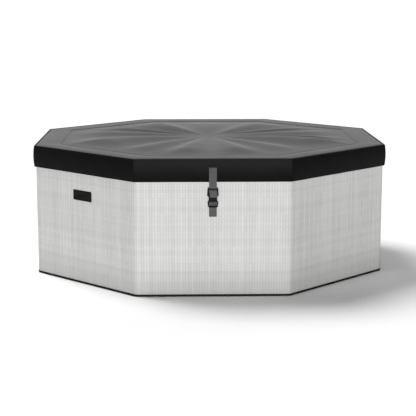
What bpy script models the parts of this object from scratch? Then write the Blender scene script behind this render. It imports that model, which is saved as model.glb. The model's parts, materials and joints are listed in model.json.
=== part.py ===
"""Octagonal hot tub: foam wall panels in a woven-look jacket, a liner, a buckled lid with an inflatable
insert, and the heating and bubble equipment in the back wall.

Metres, +Z up. The origin is the centre of the base, where it rests on the ground. The front side faces -Y.
"""

import math

import bmesh
import bpy
from mathutils import Matrix, Vector

# ------------------------------------------------------------------ driving dimensions
SIDES = 8
HALF_TURN_OF_SIDE = math.pi / SIDES
CLEAR = 0.0005  # gap between pieces that rest on each other

WALL_APOTHEM = 0.9185  # centre to the outside of the jacket, square to a side
WALL_CORNER_RADIUS = 0.035
JACKET_SKIN = 0.002
FOAM_THICKNESS = 0.172
FOAM_MITRE_GAP = 0.004  # between neighbouring wall panels
FOAM_CHAMFER = 0.35 * WALL_CORNER_RADIUS
LINER_SKIN = 0.002
LINER_BEND = 0.012  # where the liner turns over the wall onto the rim
RIM_TOP = 0.6575  # top of the liner on the wall

GROUND_PLATE = 0.006
LIP_SKIN = 0.0015
LIP_HEIGHT = 0.0125
FLOOR_PAD_THICKNESS = 0.022
JACKET_LOW = GROUND_PLATE + CLEAR
JACKET_HIGH = RIM_TOP

LID_OVERHANG = 0.0065  # from the jacket to the outside of the skirt at its top seam
LID_REST_GAP = 0.0025  # between the rim and the lid's underside
LID_EDGE_THICKNESS = 0.0235
LID_CROWN_THICKNESS = 0.0265  # at the padded border
LID_BORDER = 0.136  # width of the padded border
LID_CENTRE_DIP = 0.004
SKIRT_DEPTH = 0.1125
SKIRT_THICKNESS = 0.003
SKIRT_BULGE = 0.005
INSERT_GAP = 0.0175  # from the liner's wall to the inflatable insert
INSERT_DEPTH = 0.068

STRAP_WIDTH = 0.038
STRAP_THICKNESS = 0.0016
UPPER_STRAP_SEWN = 0.0716  # from the hem up to where the webbing ends on the skirt
UPPER_STRAP_TAIL = 0.0280  # from the socket's top down to the end of the loose tail
LOWER_STRAP_SEWN = 0.0469  # from the buckle down to where the webbing ends on the wall
BUCKLE_DROP = 0.1245  # from the hem down to the bottom of the socket's webbing frame
PLUG_THICKNESS = 0.004
SOCKET_HEIGHT = 0.0775
SOCKET_GAP = 0.001  # between the socket and the wall
SOCKET_THICKNESS = 0.012
BUCKLE_EDGE = 0.0072  # from a strap's edge to the outside of the buckle
ARM_PIVOT_X = 0.0155
ARM_PIVOT_DROP = 0.0025  # below the socket's top

PATCH_DROP = 0.112  # from the hem down to the badge's middle
PATCH_WIDTH = 0.141
PATCH_HEIGHT = 0.0535
PATCH_THICKNESS = 0.0015
PATCH_ALONG = -0.008

CHANNEL_LOW = 0.075
CHANNEL_HEIGHT = 0.052
CHANNEL_DEPTH = 0.034
CHANNEL_SKIN = 0.0015
JETS_PER_SIDE = 3
JET_PITCH = 0.16
JET_RADIUS = 0.0035

PIPE_RADIUS = 0.014
PIPE_BORE = 0.010
PIPE_CLEAR = 0.0006
DRAIN_Y = 0.150
DRAIN_Z = 0.053
CAP_RADIUS = 0.0195

BAY_HALF_WIDTH = 0.235
BAY_LOW = 0.055
BAY_HIGH = 0.365
BAY_DEPTH = 0.119
HATCH_MARGIN = 0.015
HATCH_THICKNESS = 0.005
LOUVRES = 9
LOUVRE_PITCH = 0.016

PUMP_X = -0.125
PUMP_Z = 0.205
VOLUTE_RADIUS = 0.056
VOLUTE_DEPTH = 0.040
MOTOR_RADIUS = 0.040
MOTOR_LENGTH = 0.056
IMPELLER_RADIUS = 0.036
HEATER_Z = 0.318
HEATER_RADIUS = 0.028
HEATER_WALL = 0.003
RETURN_X = 0.120
BLOWER_X = 0.140
BLOWER_Z = 0.195
BLOWER_RADIUS = 0.060
BLOWER_DEPTH = 0.056
FAN_RADIUS = 0.046
HOSE_X = BLOWER_X - 0.040
HOSE_RADIUS = 0.011
HOSE_BEND = 0.024
HOSE_STRAIGHT = 0.004  # the least straight stretch between the blower's outlet and the bend

FILTER_RADIUS = 0.060
FILTER_LENGTH = 0.094
CARTRIDGE_RADIUS = 0.046
CARTRIDGE_BORE = 0.020
PLEATS = 24

PANEL_INWARD = 0.010  # from the middle of the wall's top towards the water
PANEL_SIZE = (0.160, 0.090)
PANEL_FLANGE = 0.0012
KEY_SIZE = (0.021, 0.013)
KEY_TRAVEL = 0.0008
KEY_NAMES = ("power", "heat", "bubbles", "temperature")

# ------------------------------------------------------------------ sizes that follow
FOAM_OUTER = WALL_APOTHEM - JACKET_SKIN - CLEAR
FOAM_INNER = FOAM_OUTER - FOAM_THICKNESS
FOAM_LOW = GROUND_PLATE + CLEAR
FOAM_TOP = RIM_TOP - LINER_SKIN - CLEAR
WATER_FACE = FOAM_INNER - CLEAR - LINER_SKIN  # liner's face towards the water, square to a side
FLOOR_TOP = FOAM_LOW + FLOOR_PAD_THICKNESS + CLEAR + LINER_SKIN
CHANNEL_MIDDLE = CHANNEL_LOW + CHANNEL_HEIGHT / 2
BAY_INNER = FOAM_OUTER - BAY_DEPTH
JACKET_INNER = WALL_APOTHEM - JACKET_SKIN
LID_APOTHEM = WALL_APOTHEM + LID_OVERHANG
LID_UNDERSIDE = RIM_TOP + LID_REST_GAP
LID_EDGE_TOP = LID_UNDERSIDE + LID_EDGE_THICKNESS
LID_CROWN = LID_UNDERSIDE + LID_CROWN_THICKNESS
LID_PAD_APOTHEM = LID_APOTHEM - SKIRT_THICKNESS - CLEAR
SKIRT_TOP = LID_EDGE_TOP + 0.001
SKIRT_HEM = SKIRT_TOP - SKIRT_DEPTH
INSERT_APOTHEM = WATER_FACE - INSERT_GAP
BUCKLE_LOW = SKIRT_HEM - BUCKLE_DROP
SOCKET_TOP = BUCKLE_LOW + SOCKET_HEIGHT
SOCKET_BACK = WALL_APOTHEM + SOCKET_GAP
SOCKET_FRONT = SOCKET_BACK + SOCKET_THICKNESS
BUCKLE_OUT = (SOCKET_BACK + SOCKET_FRONT) / 2 - 0.0003  # mid-plane of the plug and its latch arms
BUCKLE_HALF = STRAP_WIDTH / 2 + BUCKLE_EDGE
WAIST_HALF = STRAP_WIDTH / 2 + 0.0015
ARM_PIVOT_Z = SOCKET_TOP - ARM_PIVOT_DROP
UPPER_STRAP_TOP = SKIRT_HEM + UPPER_STRAP_SEWN
UPPER_STRAP_TAIL_END = SOCKET_TOP - UPPER_STRAP_TAIL
LOWER_STRAP_END = BUCKLE_LOW - LOWER_STRAP_SEWN
PATCH_Z = SKIRT_HEM - PATCH_DROP
PANEL_Y = (FOAM_INNER + FOAM_OUTER) / 2 - PANEL_INWARD
PANEL_KEY_ROW = PANEL_Y - 0.020

SIDE_NAMES = ("front", "front_right", "right", "back_right", "back", "back_left", "left", "front_left")
BUCKLED_SIDES = {"front": 0, "right": 90, "back": 180, "left": 270}


# ------------------------------------------------------------------ scene and materials
def clear_scene():
    for obj in list(bpy.data.objects):
        bpy.data.objects.remove(obj)


def new_collection(name, hidden=False):
    collection = bpy.data.collections.new(name)
    bpy.context.scene.collection.children.link(collection)
    collection.hide_render = hidden
    return collection


def new_material(name, colour, roughness, metallic=0.0):
    material = bpy.data.materials.new(name)
    material.use_nodes = True
    shader = material.node_tree.nodes["Principled BSDF"]
    shader.inputs["Base Color"].default_value = (*colour, 1.0)
    shader.inputs["Roughness"].default_value = roughness
    shader.inputs["Metallic"].default_value = metallic
    return material


clear_scene()
PARTS = new_collection("hot_tub")
CUTTERS = new_collection("cutters", hidden=True)
WOVEN_VINYL = new_material("woven_vinyl", (0.72, 0.72, 0.70), 0.55)
LID_VINYL = new_material("lid_vinyl", (0.030, 0.030, 0.031), 0.45)
BASE_VINYL = new_material("base_vinyl", (0.012, 0.012, 0.012), 0.5)
LINER_VINYL = new_material("liner_vinyl", (0.33, 0.34, 0.35), 0.4)
FOAM = new_material("foam", (0.80, 0.80, 0.78), 0.9)
CLEAR_FILM = new_material("insert_film", (0.42, 0.44, 0.46), 0.35)
WEBBING = new_material("webbing", (0.10, 0.10, 0.10), 0.85)
BLACK_PLASTIC = new_material("black_plastic", (0.010, 0.010, 0.010), 0.4)
GREY_PLASTIC = new_material("grey_plastic", (0.28, 0.29, 0.30), 0.45)
FILTER_PAPER = new_material("filter_paper", (0.80, 0.82, 0.84), 0.9)
STEEL = new_material("steel", (0.60, 0.60, 0.58), 0.3, 1.0)
HOSE_RUBBER = new_material("hose_rubber", (0.05, 0.05, 0.05), 0.6)


# ------------------------------------------------------------------ modelling helpers
def place(obj, material, cutter=False):
    """Files an object under the parts or the cutters and gives it its material."""
    for collection in list(obj.users_collection):
        collection.objects.unlink(obj)
    (CUTTERS if cutter else PARTS).objects.link(obj)
    if cutter:
        obj.hide_render = True
        obj.display_type = "WIRE"
    if material and obj.data.materials:
        obj.data.materials[0] = material
    elif material:
        obj.data.materials.append(material)
    return obj


def bevelled(obj, width, segments=2):
    bevel = obj.modifiers.new("edges", "BEVEL")
    bevel.width = width
    bevel.segments = segments
    bevel.limit_method = "ANGLE"
    bevel.angle_limit = math.radians(40)
    return obj


def block(name, low, high, material=None, cutter=False):
    """A box between two corners."""
    centre = (Vector(low) + Vector(high)) / 2
    bpy.ops.mesh.primitive_cube_add(size=1, location=centre)
    obj = bpy.context.object
    obj.name = name
    obj.data.transform(Matrix.Diagonal((*(Vector(high) - Vector(low)), 1)))
    return place(obj, material, cutter)


def rod(name, start, end, radius, material=None, cutter=False, vertices=24):
    """A cylinder between two points."""
    start, end = Vector(start), Vector(end)
    bpy.ops.mesh.primitive_cylinder_add(
        vertices=vertices, radius=radius, depth=(end - start).length, location=(start + end) / 2
    )
    obj = bpy.context.object
    obj.name = name
    obj.rotation_euler = Vector((0, 0, 1)).rotation_difference(end - start).to_euler()
    return place(obj, material, cutter)


def prism(name, outlines, low, high, material=None, axis="Z", cutter=False):
    """A flat outline, and any holes in it, extruded from low to high along an axis, as a closed mesh.

    The outline's own axes are X, Y for Z, then X, Z for Y, and Y, Z for X.
    """
    curve = bpy.data.curves.new(name, "CURVE")
    curve.dimensions = "2D"
    curve.fill_mode = "BOTH"
    curve.extrude = (high - low) / 2
    for outline in outlines:
        spline = curve.splines.new("POLY")
        spline.points.add(len(outline) - 1)
        for point, (across, up) in zip(spline.points, outline):
            point.co = (across, up, 0, 1)
        spline.use_cyclic_u = True
    flat = bpy.data.objects.new(name, curve)
    middle = (low + high) / 2
    flat.location = {"X": (middle, 0, 0), "Y": (0, middle, 0), "Z": (0, 0, middle)}[axis]
    quarter = math.pi / 2
    flat.rotation_euler = {"X": (quarter, 0, quarter), "Y": (quarter, 0, 0), "Z": (0, 0, 0)}[axis]
    PARTS.objects.link(flat)
    return place(made_mesh(flat), material, cutter)


def made_mesh(obj):
    """Replaces an object by its evaluated shape as a plain welded mesh."""
    bpy.context.view_layer.update()
    graph = bpy.context.evaluated_depsgraph_get()
    mesh = bpy.data.meshes.new_from_object(obj.evaluated_get(graph))
    solid = bpy.data.objects.new(obj.name, mesh)
    solid.matrix_world = obj.matrix_world
    name, material = obj.name, obj.active_material
    bpy.data.objects.remove(obj)
    solid.name = name
    PARTS.objects.link(solid)
    work = bmesh.new()
    work.from_mesh(mesh)
    bmesh.ops.remove_doubles(work, verts=work.verts, dist=1e-6)
    bmesh.ops.recalc_face_normals(work, faces=work.faces)
    work.to_mesh(mesh)
    work.free()
    if material and not mesh.materials:
        mesh.materials.append(material)
    return solid


def turned(name, profile, material=None, steps=24, ring=False, direction=(0, 0, 1), at=(0, 0, 0)):
    """A profile of (radius, height) points, listed down its outer side, turned round its axis.

    A ring's profile is a closed loop; any other profile starts and ends on the axis.
    """
    mesh = bpy.data.meshes.new(name)
    edges = [(i, i + 1) for i in range(len(profile) - 1)]
    if ring:
        edges.append((len(profile) - 1, 0))
    mesh.from_pydata([(radius, 0, height) for radius, height in profile], edges, [])
    obj = bpy.data.objects.new(name, mesh)
    screw = obj.modifiers.new("turn", "SCREW")
    screw.steps = screw.render_steps = steps
    screw.use_merge_vertices = True
    screw.merge_threshold = 0.00001
    screw.use_smooth_shade = False
    obj.location = at
    obj.rotation_euler = Vector((0, 0, 1)).rotation_difference(Vector(direction)).to_euler()
    PARTS.objects.link(obj)
    return place(obj, material)


def eight_sided(name, profile, material, ring=False):
    """A profile of (apothem, height) points turned in eight flat sides, one of them square to -Y."""
    to_corner = 1 / math.cos(HALF_TURN_OF_SIDE)
    corner_profile = [(apothem * to_corner, height) for apothem, height in profile]
    obj = turned(name, corner_profile, material, steps=SIDES, ring=ring)
    obj.rotation_euler.z = HALF_TURN_OF_SIDE
    return obj


def cut(obj, *cutters):
    for cutter in cutters:
        boolean = obj.modifiers.new(cutter.name, "BOOLEAN")
        boolean.operation = "DIFFERENCE"
        boolean.object = cutter
    return obj


def joined(obj, *others):
    """One mesh of an object and others that overlap it, which are then removed."""
    for other in others:
        boolean = obj.modifiers.new(other.name, "BOOLEAN")
        boolean.operation = "UNION"
        boolean.object = other
    solid = made_mesh(obj)
    for other in others:
        bpy.data.objects.remove(other)
    return solid


def set_origin(obj, point):
    """Moves an object's origin to a point, leaving its mesh where it is."""
    bpy.context.view_layer.update()
    shift = obj.matrix_world.inverted() @ Vector(point)
    obj.data.transform(Matrix.Translation(-shift))
    obj.matrix_world = obj.matrix_world @ Matrix.Translation(shift)
    return obj


def turn_to(obj, degrees):
    """Turns an object about the tub's vertical axis, from the front side to another."""
    bpy.context.view_layer.update()
    obj.matrix_world = Matrix.Rotation(math.radians(degrees), 4, "Z") @ obj.matrix_world
    return obj


def arc(centre, radius, start, end, steps):
    """Points on a circle from one angle to another, in degrees."""
    angles = [math.radians(start + (end - start) * i / steps) for i in range(steps + 1)]
    return [(centre[0] + radius * math.cos(a), centre[1] + radius * math.sin(a)) for a in angles]


def round_octagon(apothem, radius, steps=4):
    """An octagon with a side square to -Y and rounded corners."""
    points = []
    for corner in range(SIDES):
        middle = 360 / SIDES * (corner + 0.5)
        reach = (apothem - radius) / math.cos(HALF_TURN_OF_SIDE)
        centre = (reach * math.cos(math.radians(middle)), reach * math.sin(math.radians(middle)))
        points += arc(centre, radius, middle - 22.5, middle + 22.5, steps)
    return points


def rectangle(half_width, low, high):
    return [(-half_width, low), (half_width, low), (half_width, high), (-half_width, high)]


def mirrored(half):
    """A closed outline from its right-hand half, listed upwards."""
    return half + [(-across, up) for across, up in reversed(half)]


def ribbon(path, thickness):
    """The closed outline of a band that follows a path of points."""
    points = [Vector(p) for p in path]
    left, right = [], []
    for i, point in enumerate(points):
        before = (point - points[i - 1]).normalized() if i else None
        after = (points[i + 1] - point).normalized() if i + 1 < len(points) else None
        before, after = before or after, after or before
        along = (before + after).normalized()
        reach = thickness / 2 / max(0.5, along.dot(after))
        side = Vector((-along.y, along.x)) * reach
        left.append(tuple(point + side))
        right.append(tuple(point - side))
    return left + right[::-1]


def hinge_empty(name, point):
    empty = bpy.data.objects.new(name, None)
    empty.location = point
    PARTS.objects.link(empty)
    return empty


def keep_under(parent, *children):
    bpy.context.view_layer.update()
    for child in children:
        world = child.matrix_world.copy()
        child.parent = parent
        child.matrix_parent_inverse = parent.matrix_world.inverted()
        child.matrix_world = world


# ------------------------------------------------------------------ base, walls and liner
def ground_sheet():
    """The base panel, whose turned-up lip shows as a dark band round the foot of the wall."""
    outer = WALL_APOTHEM + CLEAR + LIP_SKIN
    plate = prism("ground_sheet", [round_octagon(outer, WALL_CORNER_RADIUS)], 0, LIP_HEIGHT, BASE_VINYL)
    pocket = round_octagon(outer - LIP_SKIN, WALL_CORNER_RADIUS - LIP_SKIN)
    tray = prism("ground_sheet_tray", [pocket], GROUND_PLATE, LIP_HEIGHT + 0.01, cutter=True)
    return cut(plate, tray)


def outer_jacket():
    outlines = [
        round_octagon(WALL_APOTHEM, WALL_CORNER_RADIUS),
        round_octagon(JACKET_INNER, WALL_CORNER_RADIUS - JACKET_SKIN),
    ]
    jacket = prism("outer_jacket", outlines, JACKET_LOW, JACKET_HIGH, WOVEN_VINYL)
    window = block(
        "jacket_window",
        (-BAY_HALF_WIDTH, FOAM_OUTER - 0.02, BAY_LOW),
        (BAY_HALF_WIDTH, WALL_APOTHEM + 0.02, BAY_HIGH),
        cutter=True,
    )
    return cut(jacket, window, drain_passage("jacket_drain_hole", FOAM_OUTER - 0.02, WALL_APOTHEM + 0.02))


def drain_passage(name, start, end):
    """A round way along X through the right side's wall."""
    radius = PIPE_RADIUS + PIPE_CLEAR
    return rod(name, (start, DRAIN_Y, DRAIN_Z), (end, DRAIN_Y, DRAIN_Z), radius, cutter=True, vertices=16)


def wall_passage(name, x, z, start, end, radius=PIPE_RADIUS):
    """A round way along Y through the back wall."""
    return rod(name, (x, start, z), (x, end, z), radius + PIPE_CLEAR, cutter=True, vertices=16)


def foam_panels():
    """Eight mitred wall panels; the back one holds the equipment bay and the control panel's pocket."""
    tangent = math.tan(HALF_TURN_OF_SIDE)
    inner_half = FOAM_INNER * tangent - FOAM_MITRE_GAP / 2
    outer_half = FOAM_OUTER * tangent - FOAM_MITRE_GAP / 2
    slope = FOAM_CHAMFER * math.cos(HALF_TURN_OF_SIDE), FOAM_CHAMFER * math.sin(HALF_TURN_OF_SIDE)
    half = [
        (outer_half - FOAM_CHAMFER, -FOAM_OUTER),
        (outer_half - slope[1], slope[0] - FOAM_OUTER),
        (inner_half, -FOAM_INNER),
    ]
    panels = {}
    for number, side in enumerate(SIDE_NAMES):
        panel = prism(f"foam_panel_{side}", [mirrored(half)], FOAM_LOW, FOAM_TOP, FOAM)
        panels[side] = turn_to(panel, 360 / SIDES * number)
    reach = 0.02
    cut(panels["right"], drain_passage("foam_drain_hole", FOAM_INNER - reach, FOAM_OUTER + reach))
    bay = block(
        "foam_bay",
        (-BAY_HALF_WIDTH, BAY_INNER, BAY_LOW),
        (BAY_HALF_WIDTH, FOAM_OUTER + reach, BAY_HIGH),
        cutter=True,
    )
    edge = [
        (FOAM_INNER - reach, FOAM_TOP + reach),
        (FOAM_INNER + LINER_BEND + reach, FOAM_TOP + reach),
        (FOAM_INNER - reach, FOAM_TOP - LINER_BEND - reach),
    ]
    inner_edge = place(eight_sided("foam_inner_edge", edge, None, ring=True), None, cutter=True)
    for panel in panels.values():
        cut(panel, inner_edge)
    half_x, half_y = PANEL_SIZE[0] / 2 - 0.0055, PANEL_SIZE[1] / 2 - 0.0055
    pocket = block(
        "foam_panel_pocket",
        (-half_x, PANEL_Y - half_y, RIM_TOP - 0.0225),
        (half_x, PANEL_Y + half_y, RIM_TOP + reach),
        cutter=True,
    )
    start, end = FOAM_INNER - reach, BAY_INNER + reach
    cut(
        panels["back"],
        bay,
        pocket,
        wall_passage("foam_suction_hole", PUMP_X, PUMP_Z, start, end),
        wall_passage("foam_return_hole", RETURN_X, HEATER_Z, start, end),
        wall_passage("foam_air_hole", HOSE_X, CHANNEL_MIDDLE, start, end, HOSE_RADIUS),
    )
    return panels


def floor_pad():
    outline = round_octagon(FOAM_INNER - 2 * CLEAR, 0.010, steps=1)
    return prism("floor_pad", [outline], FOAM_LOW, FOAM_LOW + FLOOR_PAD_THICKNESS, FOAM)


def liner():
    """The tub itself: floor, wall and the rim that lies on the foam, welded from one skin."""
    half_skin = LINER_SKIN / 2
    wall = WATER_FACE + half_skin
    top = RIM_TOP - half_skin
    shoulder = arc((wall + LINER_BEND, top - LINER_BEND), LINER_BEND, 90, 180, 3)
    floor = FLOOR_TOP - half_skin
    profile = [(JACKET_INNER - 0.005, top), *shoulder, (wall, floor), (0, floor)]
    tub = eight_sided("liner", profile, LINER_VINYL)
    skin = tub.modifiers.new("skin", "SOLIDIFY")
    skin.thickness = LINER_SKIN
    skin.offset = 0
    skin.use_even_offset = True
    near, far = WATER_FACE - 0.02, FOAM_INNER + 0.02
    half_x, half_y = PANEL_SIZE[0] / 2 - 0.005, PANEL_SIZE[1] / 2 - 0.005
    panel_window = block(
        "liner_panel_window",
        (-half_x, PANEL_Y - half_y, RIM_TOP - 0.02),
        (half_x, PANEL_Y + half_y, RIM_TOP + 0.02),
        cutter=True,
    )
    return cut(
        tub,
        panel_window,
        drain_passage("liner_drain_hole", near, far),
        wall_passage("liner_suction_hole", PUMP_X, PUMP_Z, near, far),
        wall_passage("liner_return_hole", RETURN_X, HEATER_Z, near, far),
        wall_passage("liner_air_hole", HOSE_X, CHANNEL_MIDDLE, near, far, HOSE_RADIUS),
    )


def bubble_channel():
    """A channel welded round the foot of the liner's wall, with jet holes towards the water."""
    back = WATER_FACE - CLEAR - CHANNEL_SKIN / 2
    front = back - CHANNEL_DEPTH
    top = CHANNEL_LOW + CHANNEL_HEIGHT
    lead = 0.012
    low = CHANNEL_LOW
    profile = [(back, top), (front + lead, top), (front, top - lead)]
    profile += [(front, low + lead), (front + lead, low), (back, low)]
    channel = eight_sided("bubble_channel", profile, LINER_VINYL)
    skin = channel.modifiers.new("skin", "SOLIDIFY")
    skin.thickness = CHANNEL_SKIN
    skin.offset = 0
    skin.use_even_offset = True
    jets = bmesh.new()
    for side in range(SIDES):
        turn = Matrix.Rotation(2 * math.pi * side / SIDES, 4, "Z")
        for jet in range(JETS_PER_SIDE):
            along = JET_PITCH * (jet - (JETS_PER_SIDE - 1) / 2)
            at = Matrix.Translation((along, -front, CHANNEL_MIDDLE)) @ Matrix.Rotation(math.pi / 2, 4, "X")
            size = dict(segments=6, radius1=JET_RADIUS, radius2=JET_RADIUS, depth=0.01)
            bmesh.ops.create_cone(jets, cap_ends=True, matrix=turn @ at, **size)
    mesh = bpy.data.meshes.new("jet_holes")
    jets.to_mesh(mesh)
    jets.free()
    holes = bpy.data.objects.new("jet_holes", mesh)
    PARTS.objects.link(holes)
    return cut(channel, place(holes, None, cutter=True))


def blank_patch():
    """A plain badge sewn to the front left side."""
    plate = prism(
        "blank_patch",
        [rectangle(PATCH_WIDTH / 2, PATCH_Z - PATCH_HEIGHT / 2, PATCH_Z + PATCH_HEIGHT / 2)],
        -WALL_APOTHEM - CLEAR - PATCH_THICKNESS,
        -WALL_APOTHEM - CLEAR,
        BLACK_PLASTIC,
        axis="Y",
    )
    plate.location.x += PATCH_ALONG
    return turn_to(plate, -360 / SIDES)


# ------------------------------------------------------------------ lid
def skirt_out(height):
    """How far out the skirt's outer face stands at a height, as an apothem."""
    share = (SKIRT_TOP - height) / SKIRT_DEPTH
    return LID_APOTHEM + SKIRT_BULGE * math.sin(math.pi * min(1, max(0, share)))


def skirt_heights(steps=6):
    return [SKIRT_TOP - SKIRT_DEPTH * i / steps for i in range(steps + 1)]


def lid_top():
    """The padded top: a raised border round a slightly sunk centre."""
    border = LID_PAD_APOTHEM - LID_BORDER
    profile = [
        (0, LID_CROWN - LID_CENTRE_DIP),
        (border, LID_CROWN - LID_CENTRE_DIP),
        (border + 0.02, LID_CROWN),
        (LID_PAD_APOTHEM - 0.04, LID_CROWN),
        (LID_PAD_APOTHEM, LID_EDGE_TOP),
        (LID_PAD_APOTHEM, LID_UNDERSIDE),
        (0, LID_UNDERSIDE),
    ]
    return eight_sided("lid_top", profile, LID_VINYL)


def lid_skirt():
    """The band that hangs from the lid's edge over the wall."""
    profile = [(skirt_out(z) - SKIRT_THICKNESS / 2, z) for z in skirt_heights()]
    skirt = eight_sided("lid_skirt", profile, LID_VINYL)
    skin = skirt.modifiers.new("skin", "SOLIDIFY")
    skin.thickness = SKIRT_THICKNESS
    skin.offset = 0
    skin.use_even_offset = True
    return skirt


def lid_air_insert():
    """The inflatable pad that hangs under the lid inside the rim."""
    high = LID_UNDERSIDE - CLEAR
    low = high - INSERT_DEPTH
    round_over = INSERT_DEPTH / 2
    middle = INSERT_APOTHEM - round_over
    rim = arc((middle, (high + low) / 2), round_over, 90, -90, 6)
    return eight_sided("lid_air_insert", [(0, high), *rim, (0, low)], CLEAR_FILM)


# ------------------------------------------------------------------ straps and buckles, on the front side
def outline_to_front(points):
    """(outwards, up) points as (y, z) on the front side."""
    return [(-out, up) for out, up in points]


def upper_strap():
    """Webbing sewn to the skirt, threaded through the plug's two slots, with its tail in front."""
    proud = CLEAR + STRAP_THICKNESS / 2 + 0.0002
    sewn = [(skirt_out(z) + proud, z) for z in skirt_heights() if z < UPPER_STRAP_TOP]
    start = (skirt_out(UPPER_STRAP_TOP) + proud, UPPER_STRAP_TOP)
    centre = BUCKLE_OUT
    tail_out = SOCKET_FRONT + STRAP_THICKNESS / 2 + 0.0012
    path = [
        start,
        *sewn[:-1],
        (sewn[-1][0] + 0.001, SKIRT_HEM),
        (centre + 0.0040, SOCKET_TOP + 0.0240),
        (centre + 0.0038, SOCKET_TOP + 0.0180),
        (centre - 0.0039, SOCKET_TOP + 0.0135),
        (centre - 0.0039, SOCKET_TOP + 0.0097),
        (tail_out - 0.0028, SOCKET_TOP + 0.0075),
        (tail_out, SOCKET_TOP + 0.0040),
        (tail_out, UPPER_STRAP_TAIL_END),
    ]
    return prism(
        "upper_strap_front",
        [ribbon(outline_to_front(path), STRAP_THICKNESS)],
        -STRAP_WIDTH / 2,
        STRAP_WIDTH / 2,
        WEBBING,
        axis="X",
    )


def lower_strap():
    """Webbing sewn to the wall and folded over the socket's middle bar."""
    inner = WALL_APOTHEM + 0.0018
    outer = inner + STRAP_THICKNESS + 0.0004
    front = SOCKET_FRONT - 0.0015 + STRAP_THICKNESS / 2 + CLEAR
    low = BUCKLE_LOW
    path = [
        (outer, LOWER_STRAP_END),
        (outer, low + 0.0140),
        (front - 0.0003, low + 0.0165),
        (front, low + 0.0190),
        (front, low + 0.0233),
        (front - 0.0025, low + 0.0260),
        (outer, low + 0.0257),
        (inner, low + 0.0230),
        (inner, LOWER_STRAP_END),
    ]
    return prism(
        "lower_strap_front",
        [ribbon(outline_to_front(path), STRAP_THICKNESS)],
        -STRAP_WIDTH / 2,
        STRAP_WIDTH / 2,
        WEBBING,
        axis="X",
    )


def buckle_socket():
    """The half of the buckle on the wall: a mouth for the plug above a frame of two bars."""
    low, top = BUCKLE_LOW, SOCKET_TOP
    shoulder = BUCKLE_HALF - 0.006
    half = [
        *arc((BUCKLE_HALF - 0.0102, low + 0.0085), 0.0085, -90, 0, 4),
        *arc((BUCKLE_HALF - 0.0064, low + 0.027), 0.0058, 0, 60, 2),
        (WAIST_HALF, low + 0.0370),
        (WAIST_HALF, top - 0.0270),
        (WAIST_HALF + 0.0020, top - 0.0245),
        (WAIST_HALF + 0.0020, top - 0.0125),
        (BUCKLE_HALF + 0.0010, top - 0.0100),
        (BUCKLE_HALF + 0.0010, top - 0.0030),
        (BUCKLE_HALF - 0.0012, top),
    ]
    slot = STRAP_WIDTH / 2 + CLEAR
    holes = [
        rectangle(slot, low + 0.0085, low + 0.0190),
        rectangle(slot, low + 0.0225, low + 0.0290),
    ]
    outlines = [mirrored(half), *holes]
    body = prism("buckle_socket_front", outlines, -SOCKET_FRONT, -SOCKET_BACK, BLACK_PLASTIC, axis="Y")
    reach = 0.02
    cavity_low = top - 0.0240
    half_cavity = PLUG_THICKNESS / 2 + 0.0008
    cavity = block(
        "socket_cavity",
        (-shoulder - 0.0038, -BUCKLE_OUT - half_cavity, cavity_low),
        (shoulder + 0.0038, -BUCKLE_OUT + half_cavity, top + reach),
        cutter=True,
    )
    neck = block(
        "socket_neck_fill",
        (-WAIST_HALF + 0.003, -BUCKLE_OUT - half_cavity, low + 0.0390),
        (WAIST_HALF - 0.003, -BUCKLE_OUT + half_cavity, cavity_low),
        cutter=True,
    )
    windows = [
        block(
            f"socket_window_{sign}",
            (min(sign * 0.015, sign * 0.04), -BUCKLE_OUT - half_cavity, cavity_low),
            (max(sign * 0.015, sign * 0.04), -BUCKLE_OUT + half_cavity, top - 0.0110),
            cutter=True,
        )
        for sign in (-1, 1)
    ]
    frame_top = low + 0.0310
    behind_frame = block(
        "socket_frame_back",
        (-0.04, -SOCKET_BACK - 0.0045, low - reach),
        (0.04, -SOCKET_BACK + reach, frame_top),
        cutter=True,
    )
    before_frame = block(
        "socket_frame_front",
        (-0.04, -SOCKET_FRONT - reach, low - reach),
        (0.04, -SOCKET_FRONT + 0.0015, frame_top),
        cutter=True,
    )
    return cut(body, cavity, neck, *windows, behind_frame, before_frame)


def buckle_plug():
    """The half of the buckle on the lid's strap: two strap slots above a guide tongue."""
    low = SOCKET_TOP + 0.001
    tongue_end = BUCKLE_LOW + 0.0425
    half = [
        (0.0045, tongue_end),
        (0.0060, tongue_end + 0.004),
        (0.0060, low),
        (BUCKLE_HALF + 0.0003, low),
        (BUCKLE_HALF + 0.0008, low + 0.003),
        (BUCKLE_HALF - 0.0007, low + 0.015),
        (BUCKLE_HALF - 0.0050, low + 0.0215),
    ]
    slot = STRAP_WIDTH / 2 + CLEAR
    holes = [rectangle(slot, low + 0.0040, low + 0.0095), rectangle(slot, low + 0.0125, low + 0.0178)]
    near, far = -BUCKLE_OUT - PLUG_THICKNESS / 2, -BUCKLE_OUT + PLUG_THICKNESS / 2
    return prism("buckle_plug_front", [mirrored(half), *holes], near, far, BLACK_PLASTIC, axis="Y")


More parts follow.
